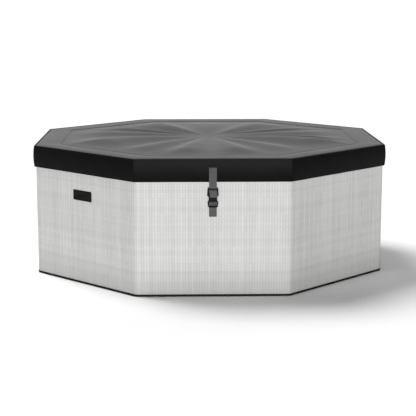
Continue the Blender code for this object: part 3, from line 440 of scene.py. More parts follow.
def octagon(apothem, height, per_side=16, round_by=0.0, per_corner=6):
    """A closed ring of points, one side square to -Y, sharp or rounded at its corners."""
    points = []
    for side in range(8):
        middle = EIGHTH * side - math.pi / 2
        normal = Vector((math.cos(middle), math.sin(middle), 0))
        along = Vector((-math.sin(middle), math.cos(middle), 0))
        half = (apothem - round_by) * HALF_SIDE
        steps = per_side + 1 if round_by else per_side
        for step in range(steps):
            point = normal * apothem + along * half * (2 * step / per_side - 1)
            points.append((point.x, point.y, height))
        if round_by:
            centre = (normal + along * HALF_SIDE) * (apothem - round_by)
            for step in range(1, per_corner):
                turn = middle + EIGHTH * step / per_corner
                edge = centre + round_by * Vector((math.cos(turn), math.sin(turn), 0))
                points.append((edge.x, edge.y, height))
    return points


def lofted(name, rings, closed_end=False, closed_start=False):
    """A skin through rings of points, each extruded from the last, with a UV map in metres."""
    obj = named(primitive("circle", vertices=len(rings[0]), fill_type="NOTHING"), name)
    editing(obj)
    work = bmesh.from_edit_mesh(obj.data)
    work.verts.layers.int.new("place")
    work.verts.layers.int.new("row")
    for number, vertex in enumerate(work.verts):
        vertex[work.verts.layers.int["place"]] = number
    for number, ring in enumerate(rings):
        if number:
            bpy.ops.mesh.extrude_edges_move()
            work = bmesh.from_edit_mesh(obj.data)
        place, row = (work.verts.layers.int[layer] for layer in ("place", "row"))
        for vertex in work.verts:
            if vertex.select:
                vertex.co = ring[vertex[place]]
                vertex[row] = number
        bmesh.update_edit_mesh(obj.data)
    for wanted, number in ((closed_start, 0), (closed_end, len(rings) - 1)):
        if wanted:
            work = bmesh.from_edit_mesh(obj.data)
            row = work.verts.layers.int["row"]
            for vertex in work.verts:
                vertex.select = vertex[row] == number
            work.select_flush(True)
            for edge in work.edges:
                edge.select = all(v[row] == number for v in edge.verts)
            bmesh.update_edit_mesh(obj.data)
            bpy.ops.mesh.edge_face_add()
    bpy.ops.mesh.select_all(action="SELECT")
    bpy.ops.mesh.normals_make_consistent(inside=False)
    bpy.ops.object.mode_set(mode="OBJECT")
    map_rings(obj, rings)
    return obj


def map_rings(obj, rings):
    """Lays the UV map: u runs along the middle ring, v across the rings, both in metres."""
    loops = np.array([[Vector(p) for p in ring] for ring in rings])
    middle = loops[len(rings) // 2]
    along = np.concatenate([[0], np.cumsum(np.linalg.norm(np.roll(middle, -1, 0) - middle, axis=1))])
    across = np.concatenate([[0], np.cumsum(np.linalg.norm(np.diff(loops[:, 0], axis=0), axis=1))])
    place, row = np.zeros(len(obj.data.vertices), int), np.zeros(len(obj.data.vertices), int)
    for values, layer in ((place, "place"), (row, "row")):
        obj.data.attributes[layer].data.foreach_get("value", values)
    uv = obj.data.uv_layers.active
    uv.name = "surface"
    for face in obj.data.polygons:
        places = [place[v] for v in face.vertices]
        wraps = max(places) - min(places) > len(middle) / 2
        for loop, vertex, spot in zip(face.loop_indices, face.vertices, places):
            lap = len(middle) if wraps and spot == 0 else 0
            uv.data[loop].uv = (along[spot + lap], across[row[vertex]])


# ---- sizes read from the frame
LID_LOW, LID_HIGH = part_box("lid_skirt")
PAD_LOW, PAD_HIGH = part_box("lid_top")
JACKET_LOW, JACKET_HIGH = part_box("outer_jacket")
WALL_APOTHEM = JACKET_HIGH.y
SEAM_APOTHEM = 0.925  # where the lid's top meets its skirt
STITCH_APOTHEM = 0.789  # the stitched line inside the lid's border
SEAM_Z = LID_HIGH.z
SKIRT_HEM = LID_LOW.z
SKIRT_DROP = SEAM_Z - SKIRT_HEM


# ---- lid
FOLDS = (  # each raised fold: where it starts, crests and ends in degrees, its height in millimetres
    (-6, 10, 21, 3.2),
    (21, 30, 37, 3.4),
    (37, 58, 74, 5.0),
    (74, 90, 104, 3.4),
    (106, 121, 143, 7.0),
    (143, 149, 160, 4.2),
    (161, 170, 188, 4.0),
    (190, 205, 229, 6.0),
    (229, 239, 250, 3.8),
    (250, 258, 272, 4.2),
    (268, 282, 291, 4.0),
    (291, 301, 311, 3.2),
    (309, 333, 340, 7.0),
    (340, 348, 355, 3.6),
)
FOLD_CENTRE = (0.0, 0.05)
FOLD_RISE = 2.6  # how much the folds are pulled up, as a multiple of the heights above


def octagon_reach(x, y):
    """How far a point is from the middle, as the apothem of the octagon through it."""
    sides = [x * math.cos(EIGHTH * k) + y * math.sin(EIGHTH * k) for k in range(8)]
    return np.max(sides, axis=0)


def fold_height(x, y):
    """The raised folds that run from the lid's middle towards the stitched line."""
    reach = octagon_reach(x, y) / STITCH_APOTHEM
    dx, dy = x - FOLD_CENTRE[0], y - FOLD_CENTRE[1]
    azimuth = np.degrees(np.arctan2(dy, dx))
    out = np.hypot(dx, dy) / STITCH_APOTHEM
    rise = smooth_step(out, 0.0, 0.62)
    fall = 1 - smooth_step(reach, 0.70, 0.99)
    height = 0.0035 * rise * fall
    for start, crest, end, tall in FOLDS:
        turn = (azimuth - start) % 360
        up, down = crest - start, end - crest
        share = np.where(turn < up, turn / up, np.clip(1 - (turn - up) / down, 0, 1))
        share = np.where(turn > up + down, 0, share)
        height += FOLD_RISE * tall / 1000 * (share * share * (3 - 2 * share)) * rise * fall
    return height


def lid_profile(reach):
    """Height of the lid's top by how far out it is: a flat middle, a stitched groove and a crowned border."""
    out = SEAM_APOTHEM - reach
    share = np.clip((reach - STITCH_APOTHEM) / (SEAM_APOTHEM - STITCH_APOTHEM), 0, 1)
    border = 0.0030 * np.sin(np.pi * share) ** 0.7
    roll = -0.0045 * (1 - smooth_step(out, 0.0, 0.030)) ** 2
    groove = -0.0022 * np.exp(-(((reach - STITCH_APOTHEM) / 0.0035) ** 2))
    return PAD_HIGH.z - 0.0032 + border * (reach > STITCH_APOTHEM) + roll + groove


def make_lid_top():
    per_side = 30
    reaches = [0.921, 0.9195, 0.916, 0.910, 0.902, 0.890, 0.872, 0.852, 0.832, 0.815, 0.803, 0.797]
    reaches += [0.7935, 0.7912, 0.789, 0.7868, 0.7845, 0.780, 0.772, 0.760]
    reaches += list(np.linspace(0.742, 0.02, 40))
    top = [octagon(a, 0, per_side) for a in reaches]
    under = [octagon(a, PAD_LOW.z + 0.0004, per_side) for a in (0.60, 0.90)]
    side = [octagon(a, z, per_side) for a, z in ((0.9205, PAD_LOW.z + 0.003), (0.921, 0.672), (0.921, 0.678))]
    pad = lofted("padded_lid", under + side + top, closed_end=True, closed_start=True)
    points = points_of(pad)
    row = np.zeros(len(points), int)
    pad.data.attributes["row"].data.foreach_get("value", row)
    upper = row >= len(under) + len(side)
    x, y = points[upper, 0], points[upper, 1]
    reach = octagon_reach(x, y)
    points[upper, 2] = lid_profile(reach) + fold_height(x, y)
    set_points(pad, points)
    finished(smoothed(pad, 50), "lid", "lid_vinyl", stands_for=["lid_top"])


def skirt_out(share):
    """The skirt's outer face by how far down it is, as an apothem."""
    return SEAM_APOTHEM - 0.0004 + 0.0052 * np.sin(np.pi * min(max(share, 0), 1)) ** 0.8


def make_skirt():
    per_side = 24
    rings = [octagon(SEAM_APOTHEM - 0.004, SEAM_Z - 0.0015, per_side)]
    for share in np.linspace(0, 1, 22):
        rings.append(octagon(skirt_out(share), SEAM_Z - 0.001 - (SKIRT_DROP - 0.0016) * share, per_side))
    rings += [octagon(skirt_out(1) - 0.0012, SKIRT_HEM + 0.0004, per_side)]
    rings += [octagon(skirt_out(1) - 0.0022, SKIRT_HEM + z, per_side) for z in (0.002, 0.008, 0.014)]
    skirt = lofted("lid_skirt_band", rings)
    points = points_of(skirt)
    x, y, z = points.T
    azimuth = np.arctan2(y, x)
    low = smooth_step(SEAM_Z - z, 0.01, 0.11)
    ripple = 0.0007 * np.sin(azimuth * 23 + 1.3) + 0.0005 * np.sin(azimuth * 41 + z * 60)
    hem = -0.0007 * np.exp(-(((z - SKIRT_HEM - 0.013) / 0.0016) ** 2))
    stretch = 1 + (ripple * low + hem * (octagon_reach(x, y) > SEAM_APOTHEM - 0.0012)) / SEAM_APOTHEM
    widened(skirt, points, stretch)
    applied(skirt, "SOLIDIFY", thickness=0.0010, offset=-1.0)
    finished(smoothed(skirt, 28), "lid", "lid_vinyl", SKIRT_VINYL, ["lid_skirt"])


def tube_along(name, places, radius, closed=True, sides=8):
    """A thin round piece along a run of points."""
    curve = bpy.data.curves.new(name, "CURVE")
    tuned(curve, dimensions="3D", bevel_depth=radius, bevel_resolution=sides // 4)
    spline = curve.splines.new("POLY")
    spline.points.add(len(places) - 1)
    for point, place in zip(spline.points, places):
        point.co = (*place, 1)
    spline.use_cyclic_u = closed
    curve.use_fill_caps = not closed
    activated(linked(bpy.data.objects.new(name, curve)))
    bpy.ops.object.convert(target="MESH")
    return bpy.context.object


def make_piping():
    piping = tube_along("lid_piping", octagon(SEAM_APOTHEM - 0.0016, SEAM_Z - 0.0012, 20), 0.0019)
    finished(smoothed(piping, 60), "lid", "lid_vinyl")


# ---- stitches and welts
def stitch_row(start, end, pitch=0.0062, length=0.0040, radius=0.00055):
    """A straight row of thread stitches between two points, each a flattened bead."""
    start, end = Vector(start), Vector(end)
    run = end - start
    count = max(2, int(run.length / pitch))
    row = primitive("uv_sphere", segments=6, ring_count=4, radius=1)
    row.data.transform(Matrix.Diagonal((length / 2, radius, radius, 1)))
    step = run.length / count
    applied(row, "ARRAY", count=count, use_relative_offset=False, use_constant_offset=True,
            constant_offset_displace=(step, 0, 0), use_merge_vertices=False)
    turn = run.to_track_quat("X", "Z").to_matrix().to_4x4()
    row.data.transform(Matrix.Translation(start + run.normalized() * step / 2) @ turn)
    return row


def joined_pieces(name, pieces):
    clear_selection()
    for piece in pieces:
        piece.select_set(True)
    bpy.context.view_layer.objects.active = pieces[0]
    if len(pieces) > 1:
        bpy.ops.object.join()
    return named(bpy.context.view_layer.objects.active, name)


def corner(apothem, number, height):
    """The corner of the octagon that ends side number, side 0 being the front."""
    turn = EIGHTH * (number + 0.5) - math.pi / 2
    reach = apothem / math.cos(EIGHTH / 2)
    return Vector((reach * math.cos(turn), reach * math.sin(turn), height))


def stitched_octagon(name, apothem, height, body, margin=0.004):
    rows = []
    for side in range(8):
        first, last = corner(apothem, side - 1, height), corner(apothem, side, height)
        inset = (last - first).normalized() * margin
        rows.append(stitch_row(first + inset, last - inset))
    finished(smoothed(joined_pieces(name, rows), 180), body, "lid_vinyl", THREAD)


def make_lid_stitching():
    top = float(lid_profile(np.array(STITCH_APOTHEM - 0.004)))
    stitched_octagon("lid_top_stitching", STITCH_APOTHEM - 0.0045, top + 0.0002, "lid")
    for name, down in (("skirt_seam_stitching", 0.0075), ("skirt_hem_stitching", SKIRT_DROP - 0.0150)):
        stitched_octagon(name, skirt_out(down / SKIRT_DROP) + 0.0001, SEAM_Z - down, "lid", 0.007)


def make_corner_welts():
    """The turned seam that stands proud down each corner of the skirt."""
    welts = []
    for number in range(8):
        heights = [0.03 * SKIRT_DROP + 0.95 * SKIRT_DROP * s / 7 for s in range(8)]
        places = [corner(skirt_out(down / SKIRT_DROP) - 0.0004, number, SEAM_Z - down) for down in heights]
        welts.append(tube_along(f"welt_{number}", places, 0.0017, closed=False))
    finished(smoothed(joined_pieces("skirt_corner_welts", welts), 60), "lid", "lid_vinyl", SKIRT_VINYL)


# ---- straps
SOCKET_LOW, SOCKET_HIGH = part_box("buckle_socket_front")
STRAP_LOW, STRAP_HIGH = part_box("upper_strap_front")
LOWER_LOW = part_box("lower_strap_front")[0]
STRAP_WIDTH = STRAP_HIGH.x - STRAP_LOW.x
STRAP_THICKNESS = 0.0015
BOX_STITCH = (0.0038, 0.0028, 0.0004)  # pitch, length and radius of the stitches that hold the webbing
BUCKLE_FRONT = -SOCKET_LOW.y
BUCKLE_MIDDLE = (BUCKLE_FRONT - SOCKET_HIGH.y) / 2


def eased(path, steps=5):
    """A smooth run through the path's own points."""
    points = [Vector(p) for p in path]
    points = [points[0] * 2 - points[1], *points, points[-1] * 2 - points[-2]]
    run = []
    for before, start, end, after in zip(points, points[1:], points[2:], points[3:]):
        for step in range(steps):
            t = step / steps
            bend = (2 * before - 5 * start + 4 * end - after) * t * t
            bend += (3 * start - before - 3 * end + after) * t**3
            run.append(0.5 * (2 * start + (end - before) * t + bend))
    return [*run, points[-2]]


def strap(name, path, sway=None):
    """Webbing on the front side through points of how far out and how high, with soft round edges."""
    rings = []
    half = STRAP_WIDTH / 2
    spots = [-0.985, -0.93, -0.7, -0.35, 0.0, 0.35, 0.7, 0.93, 0.985]
    for number, point in enumerate(path):
        ahead = path[min(number + 1, len(path) - 1)] - path[max(number - 1, 0)]
        normal = Vector((-ahead.y, ahead.x)).normalized()
        shift = sway(point) if sway else 0.0
        ring = []
        for side in (1, -1):
            for spot in spots[::side]:
                rise = STRAP_THICKNESS / 2 * side * (1 - abs(spot) ** 8) ** 0.5
                place = point + normal * rise
                ring.append((shift + spot * half, -place.x, place.y))
        rings.append(ring)
    piece = lofted(name, rings, closed_end=True, closed_start=True)
    return smoothed(piece, 50)


def on_buckled_sides(front, stem, body, slot, finish=None, replaced=None):
    """The front piece and a copy of it, with its own mesh, on each of the other buckled sides."""
    made = {}
    for side, degrees in BUCKLED_SIDES.items():
        piece = front
        if degrees:
            piece = linked(front.copy())
            piece.data = front.data.copy()
            piece.data.transform(Matrix.Rotation(math.radians(degrees), 4, "Z"))
        made[side] = piece
    for side, piece in made.items():
        stands_for = [replaced.format(side)] if replaced else ()
        finished(named(piece, stem.format(side)), body, slot, finish, stands_for)
    return made


def sew_down(stem, body, pairs, reach):
    """Rows of stitches between pairs of points on the front strap, as far out as reach says for a height."""
    rows = []
    for ends in pairs:
        rows.append(stitch_row(*((x, -reach(z), z) for x, z in ends), *BOX_STITCH))
    on_buckled_sides(smoothed(joined_pieces("box_stitch", rows), 180), stem, body, "webbing", THREAD)


def run_length(path):
    return sum((b - a).length for a, b in zip(path, path[1:]))


def make_upper_straps():
    top = STRAP_HIGH.z
    proud = STRAP_THICKNESS / 2 + 0.0008
    heights = np.linspace(top - 0.0004, SKIRT_HEM + 0.004, 7)
    sewn = [(skirt_out((SEAM_Z - z) / SKIRT_DROP) + proud, z) for z in heights]
    tail_out = BUCKLE_FRONT + STRAP_THICKNESS / 2 + 0.0010
    middle, bar_top = BUCKLE_MIDDLE, SOCKET_HIGH.z
    path = eased([
        *sewn,
        (sewn[-1][0] - 0.0004, SKIRT_HEM - 0.003),
        (middle + 0.0046, bar_top + 0.0260),
        (middle + 0.0038, bar_top + 0.0185),
        (middle - 0.0030, bar_top + 0.0140),
        (middle - 0.0036, bar_top + 0.0105),
        (tail_out - 0.0030, bar_top + 0.0073),
        (tail_out, bar_top + 0.0025),
        (tail_out + 0.0006, bar_top - 0.0125),
        (tail_out, STRAP_LOW.z + 0.012),
        (tail_out - 0.0004, STRAP_LOW.z + 0.0006),
    ])
    start = bar_top + 0.0075

    def sway(point):
        down = start - point.y
        return 0.0032 * smooth_step(down, 0.0, 0.02) + 0.0022 * smooth_step(down, 0.02, 0.05)

    front = strap("strap", path, sway)
    straps = on_buckled_sides(front, "lid_strap_{}", "lid", "webbing", None, "upper_strap_{}")
    for piece in straps.values():
        run_length(path)
    box, low, high = STRAP_WIDTH / 2 - 0.004, top - 0.026, top - 0.004
    corners = [(-box, high), (box, high), (box, low), (-box, low)]
    pairs = [*zip(corners, corners[1:] + corners[:1]), (corners[0], corners[2]), (corners[1], corners[3])]

    def over_strap(z):
        return skirt_out((SEAM_Z - z) / SKIRT_DROP) + proud + STRAP_THICKNESS / 2 + 0.0001

    sew_down("strap_box_stitch_{}", "lid", pairs, over_strap)


def make_lower_straps():
    inner = WALL_APOTHEM + 0.0018
    outer = inner + STRAP_THICKNESS + 0.0004
    front = BUCKLE_FRONT - 0.0015 + STRAP_THICKNESS / 2 + 0.0005
    low, foot = SOCKET_LOW.z, LOWER_LOW.z
    path = eased([
        (outer, foot + 0.0004),
        (outer + 0.0004, foot + 0.02),
        (outer, low - 0.004),
        (outer + 0.0008, low + 0.0135),
        (front - 0.0012, low + 0.0165),
        (front, low + 0.0193),
        (front, low + 0.0231),
        (front - 0.0028, low + 0.0261),
        (outer + 0.0006, low + 0.0265),
        (inner + 0.0002, low + 0.0235),
        (inner, low + 0.004),
        (inner, foot + 0.02),
        (inner, foot + 0.0004),
    ])
    piece = strap("strap", path)
    straps = on_buckled_sides(piece, "wall_strap_{}", "tub", "webbing", None, "lower_strap_{}")
    for made in straps.values():
        run_length(path)
    box = STRAP_WIDTH / 2 - 0.004
    low, high = foot + 0.004, foot + 0.024
    level = [((-box, z), (box, z)) for z in (low, high)]
    upright = [((x, low), (x, high)) for x in (-box, box)]
    over_strap = outer + STRAP_THICKNESS / 2 + 0.0002
    sew_down("wall_strap_stitch_{}", "tub", level + upright, lambda z: over_strap)


# ---- blank badge
def make_badge():
    """A moulded rubber badge with a raised rim and nothing on its field."""
    width, height, thick = 0.1405, 0.0530, 0.0011
    along, up, rim = -0.008, 0.460, 0.0012
    badge = primitive("cube", size=1, location=(along, -WALL_APOTHEM - 0.0003 - thick / 2, up))
    badge.scale = (width, thick, height)
    bpy.ops.object.transform_apply(location=True, scale=True)
    bpy.ops.object.mode_set(mode="EDIT")
    work = bmesh.from_edit_mesh(badge.data)
    for edge in work.edges:
        first, last = (v.co for v in edge.verts)
        edge.select = abs(first.x - last.x) < 1e-6 and abs(first.z - last.z) < 1e-6
    bmesh.update_edit_mesh(badge.data)
    bpy.ops.mesh.select_mode(type="EDGE")
    bpy.ops.mesh.bevel(offset=0.005, segments=5)
    bpy.ops.mesh.select_mode(type="FACE")
    for inset, push in ((rim, 0.0), (0.0, -0.0006), (0.0022, 0.0), (0.0, 0.0007), (0.004, 0.0)):
        lost = not any(face.select for face in bmesh.from_edit_mesh(badge.data).faces)
        if lost or inset == rim:
            choose_faces(badge, lambda f: f.normal.y < -0.99 and f.calc_area() > 0.5 * width * height)
        if inset:
            bpy.ops.mesh.inset(thickness=inset)
        if push:
            bpy.ops.mesh.extrude_region_move(TRANSFORM_OT_translate={"value": (0, push, 0)})
    bpy.ops.object.mode_set(mode="OBJECT")
    applied(badge, "BEVEL", width=0.0002, segments=2, limit_method="ANGLE")
    named(badge, "blank_badge")
    badge.data.transform(Matrix.Rotation(-EIGHTH, 4, "Z"))
    finished(smoothed(badge), "tub", "black_plastic", BADGE_RUBBER, ["blank_patch"])


# ---- walls and base
def make_jacket():
    round_by = 0.038
    low, high = JACKET_LOW.z, JACKET_HIGH.z
    heights = [low, low + 0.004, 0.03, 0.055, 0.09, 0.14, 0.2, 0.26, 0.32, 0.365, 0.42, 0.48, 0.54, 0.6]
    heights += [high - 0.02, high]
    rings = [octagon(WALL_APOTHEM - (0.0006 if z < low + 0.002 else 0), z, 26, round_by, 8) for z in heights]
    jacket = lofted("woven_jacket", rings)
    bay_x, bay_low, bay_high = 0.235, 0.055, 0.365  # the opening behind the equipment hatch
    back = WALL_APOTHEM - 0.01

    def over_bay(face):
        x, y, z = face.calc_center_median()
        return y > back and abs(x) < bay_x and bay_low < z < bay_high

    editing(jacket)
    for x in (-bay_x, bay_x):
        choose_faces(jacket, lambda face: face.calc_center_median().y > back)
        bpy.ops.mesh.bisect(plane_co=(x, 0, 0), plane_no=(1, 0, 0))
    choose_faces(jacket, over_bay)
    bpy.ops.mesh.delete(type="FACE")
    bpy.ops.object.mode_set(mode="OBJECT")
    applied(jacket, "SOLIDIFY", thickness=0.0016, offset=-1.0)
    finished(smoothed(jacket, 40), "tub", "woven_vinyl", stands_for=["outer_jacket"])


# ---- base sheet, liner and bubble channel
LINER_LOW, LINER_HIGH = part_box("liner")
CHANNEL_LOW, CHANNEL_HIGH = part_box("bubble_channel")
WATER_APOTHEM = CHANNEL_HIGH.y + 0.0006
FLOOR_TOP = LINER_LOW.z + 0.002
RIM_TOP = LINER_HIGH.z
CORNER_ROUND = 0.014  # of the water's wall


def make_base_sheet():
    """The dark base panel, hemmed and turned up in a narrow band round the foot of the wall."""
    _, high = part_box("ground_sheet")
    out = high.y
    profile = [(0.02, 0.0012), (0.30, 0.0012), (0.60, 0.0012), (0.86, 0.0010)]
    hem = [(0.0060, 0.0004), (0.0022, 0.0008), (0.0004, 0.0026), (0, 0.0052), (0.0002, 0.0092)]
    profile += [(out - a, z) for a, z in hem]
    lip = [(0.0003, 0.0014), (0.0009, 0.0003), (0.0017, 0.0006), (0.0019, 0.0020)]
    profile += [(out - a, high.z - z) for a, z in lip]
    rings = [octagon(a, z, 16, min(0.037, a * 0.3), 8) for a, z in profile]
    sheet = lofted("base_sheet", rings, closed_start=True)
    finished(smoothed(sheet, 50), "tub", "base_vinyl", stands_for=["ground_sheet"])


def make_liner():
    """The water liner: hooked over the rim, down the wall and across the floor, slack at its corners."""
    out = WALL_APOTHEM - 0.0045
    bend, foot_bend = 0.012, 0.022
    profile = [(out, RIM_TOP - 0.0045), (out - 0.0002, RIM_TOP - 0.0010), (out - 0.0016, RIM_TOP - 0.0002)]
    profile += [(a, RIM_TOP) for a in np.linspace(out - 0.008, WATER_APOTHEM + bend + 0.004, 6)]
    for step in range(7):
        turn = math.pi / 2 * step / 6
        reach = WATER_APOTHEM + bend - bend * math.sin(turn)
        profile.append((reach, RIM_TOP - bend + bend * math.cos(turn)))
    profile += [(WATER_APOTHEM, z) for z in np.linspace(RIM_TOP - 0.04, FLOOR_TOP + 0.05, 16)]
    for step in range(6):
        turn = math.pi / 2 * step / 5
        reach = WATER_APOTHEM - foot_bend + foot_bend * math.cos(turn)
        profile.append((reach, FLOOR_TOP + foot_bend - foot_bend * math.sin(turn)))
    profile += [(a, FLOOR_TOP) for a in np.linspace(WATER_APOTHEM - 0.05, 0.03, 14)]
    rings = [octagon(float(a), float(z), 20, float(min(CORNER_ROUND, a * 0.3)), 4) for a, z in profile]
    liner = lofted("water_liner", rings, closed_end=True)
    points = points_of(liner)
    x, y, z = points.T
    reach, azimuth = octagon_reach(x, y), np.arctan2(y, x)
    near_corner = 1 - np.abs(np.sin(4 * (azimuth + np.pi / 8 + np.pi / 2))) ** 0.5
    wall = (reach > WATER_APOTHEM - 0.004) * (reach < WATER_APOTHEM + 0.004)
    slack = 0.0011 * np.sin(z * 46 + 2.2 * np.sin(azimuth * 8)) * (0.3 + near_corner)
    slack += 0.0007 * np.sin(azimuth * 57 + z * 9)
    points[:, :2] *= (1 - wall * np.abs(slack) / WATER_APOTHEM)[:, None]
    floor = (z < FLOOR_TOP + 0.003) * smooth_step(WATER_APOTHEM - reach, 0.02, 0.12)
    ripple = 0.0012 * (1 + np.sin(x * 31 + 1.7 * np.sin(y * 13)))
    points[:, 2] += floor * ripple * (1 + np.sin(y * 27 + 1.3 * np.sin(x * 11))) / 2
    set_points(liner, points)
    finished(smoothed(liner, 60), "tub", "liner_vinyl", stands_for=["liner"])
    in_round = 1 - 0.0125 * 0.45  # the seams stand inside the wall's rounded corners
    heights = np.linspace(FLOOR_TOP + 0.024, RIM_TOP - 0.016, 14)
    seams = []
    for number in range(8):
        places = [corner((WATER_APOTHEM - 0.0014) * in_round, number, z) for z in heights]
        seams.append(tube_along(f"seam_{number}", places, 0.0022, closed=False))
    finished(smoothed(joined_pieces("liner_corner_seams", seams), 60), "tub", "liner_vinyl")
    foot = octagon(WATER_APOTHEM - 0.030, FLOOR_TOP + 0.0016, 16, CORNER_ROUND, 4)
    finished(smoothed(tube_along("liner_floor_seam", foot, 0.0017), 60), "tub", "liner_vinyl")


def make_bubble_channel():
    """The air channel welded round the foot of the wall, puffed out between its welds, with its jets."""
    low, high = CHANNEL_LOW.z, CHANNEL_HIGH.z
    depth, half = 0.0345, (high - low) / 2
    middle = halfway(low, high)
    back = WATER_APOTHEM - 0.0008
    profile = [(back, high + 0.007), (back - 0.0012, high + 0.001)]
    for step in range(11):
        turn = math.pi * (step / 10 - 0.5)
        reach = back - 0.002 - depth * math.cos(turn) ** 0.62
        profile.append((reach, middle - half * math.sin(turn) * 0.98))
    profile += [(back - 0.0012, low - 0.001), (back, low - 0.007)]
    rings = [octagon(a, z, 24, CORNER_ROUND, 4) for a, z in profile]
    channel = lofted("bubble_ring", rings)
    points = points_of(channel)
    x, y, z = points.T
    azimuth = np.arctan2(y, x)
    out = back - octagon_reach(x, y)
    puff = 1 + 0.0011 * np.abs(np.sin(azimuth * 36)) * smooth_step(out, 0.004, 0.02) / back
    widened(channel, points, puff)
    applied(channel, "SOLIDIFY", thickness=0.0010, offset=0.0)
    finished(smoothed(channel, 60), "tub", "liner_vinyl", stands_for=["bubble_channel"])
    jets, spacing = [], 0.16
    face = -back + 0.002 + depth + 0.0004
    for side in range(8):
        for along in (-spacing, 0.0, spacing):
            jet = primitive(
                "torus", major_radius=0.0058, minor_radius=0.0016, major_segments=14, minor_segments=6
            )
            jet.data.transform(Matrix.Translation((along, face, middle)) @ quarter_turn("X"))
            jet.data.transform(Matrix.Rotation(side * EIGHTH, 4, "Z"))
            jets.append(jet)
    finished(smoothed(joined_pieces("bubble_jets", jets), 80), "tub", "grey_plastic")


# ---- the lid's air insert
def make_air_insert():
    """Two films welded at their edge and along rings and spokes, with the cells between them blown up."""
    low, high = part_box("lid_air_insert")
    out, thick = high.y, high.z - low.z
    middle = halfway(low.z, high.z)
    rings, weld = (0.21, 0.42), 0.012  # how far out the ring welds are, and half a radial weld's width
    furthest = 0.020  # that a point may move when the cells are blown up
    reaches = np.linspace(0.05, out - 0.012, 18)
    top = [octagon(a, middle + thick * 0.28, 12) for a in reaches]
    edge = ((0.004, 0.2), (0.001, 0.0), (0.004, -0.2))
    side = [octagon(out - a, middle + thick * z, 12) for a, z in edge]
    under = [octagon(a, middle - thick * 0.28, 12) for a in reaches[::-1]]
    insert = lofted("air_insert", top + side + under, closed_end=True, closed_start=True)
    points = points_of(insert)
    x, y, z = points.T
    reach = octagon_reach(x, y)
    ring_weld = np.min([np.abs(reach - ring) for ring in rings], axis=0) < 0.016
    azimuth = np.degrees(np.arctan2(y, x)) % 45
    cross = np.hypot(x, y) * np.abs(np.sin(np.radians(np.minimum(azimuth, 45 - azimuth))))
    spoke = (cross < weld) & (reach > 0.20) & (reach < out - 0.06)
    welded = ring_weld | spoke
    points[:, 2] = np.where(welded, middle + np.sign(z - middle) * thick * 0.13, z)
    set_points(insert, points)
    before = points_of(insert)
    group = insert.vertex_groups.new(name="welds")
    group.add([int(n) for n in np.flatnonzero(welded)], 1.0, "REPLACE")
    activated(insert)
    cloth = insert.modifiers.new("cloth", "CLOTH")
    tuned(cloth.settings, vertex_group_mass="welds", use_pressure=True, uniform_pressure_force=4.0)
    tuned(cloth.settings, tension_stiffness=40, compression_stiffness=40, quality=6)
    cloth.settings.effector_weights.gravity = 0.0
    tuned(cloth.point_cache, frame_start=1, frame_end=20)
    for number in range(1, 21):
        bpy.context.scene.frame_set(number)
    bpy.context.view_layer.update()
    blown = insert.evaluated_get(bpy.context.evaluated_depsgraph_get())
    after = np.zeros(len(before) * 3)
    blown.data.vertices.foreach_get("co", after)
    shift = after.reshape(-1, 3) - before
    length = np.linalg.norm(shift, axis=1, keepdims=True)
    insert.modifiers.remove(cloth)
    set_points(insert, before + shift * np.minimum(1, furthest / np.maximum(length, 1e-9)))
    bpy.context.scene.frame_set(1)
    points = points_of(insert)
    points[:, 2] = np.clip(points[:, 2], low.z - 0.004, high.z - 0.0008)
    set_points(insert, points)
    applied(insert, "SUBSURF", levels=1, render_levels=1)
    finished(smoothed(insert, 180), "lid", "insert_film", stands_for=["lid_air_insert"])
    place = (0.30, -0.46, low.z + 0.004)
    valve = primitive("cylinder", vertices=28, radius=0.017, depth=0.006, location=place)
    stepped(valve, lambda face: face.normal.z < -0.9, ((0.005, -0.0035), (0.002, 0.0018)))
    applied(valve, "BEVEL", width=0.0006, segments=2, limit_method="ANGLE")
    finished(smoothed(named(valve, "insert_valve")), "lid", "black_plastic")


# ---- control panel, hatch and plumbing details
PANEL_LOW, PANEL_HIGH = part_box("control_panel")
SEGMENTS = {"3": "abcdg", "8": "abcdefg"}
SEGMENT_PLACES = {
    "a": (0, 1, 0), "b": (0.5, 0.5, 90), "c": (0.5, -0.5, 90), "d": (0, -1, 0),
    "e": (-0.5, -0.5, 90), "f": (-0.5, 0.5, 90), "g": (0, 0, 0),
}


def bar(length, width, thick, place, turn=0.0):
    """A thin raised bar with pointed ends, flat on the panel."""
    obj = primitive("cylinder", vertices=6, radius=0.5, depth=1)
    obj.data.transform(Matrix.Diagonal((length, width / math.cos(math.pi / 6), thick, 1)))
    obj.data.transform(Matrix.Translation(place) @ Matrix.Rotation(math.radians(turn), 4, "Z"))
    return obj


def loop_mark(radius, thick, place, opening=0.0):
    """A round mark, closed or open towards the far side."""
    steps = 20
    first = math.radians(90 + opening / 2)
    sweep = math.radians(360 - opening)
    turns = [first + sweep * n / steps for n in range(steps + (opening > 0))]
    places = [Vector(place) + radius * Vector((math.cos(t), math.sin(t), 0)) for t in turns]
    return tube_along("mark", places, thick, closed=not opening, sides=4)


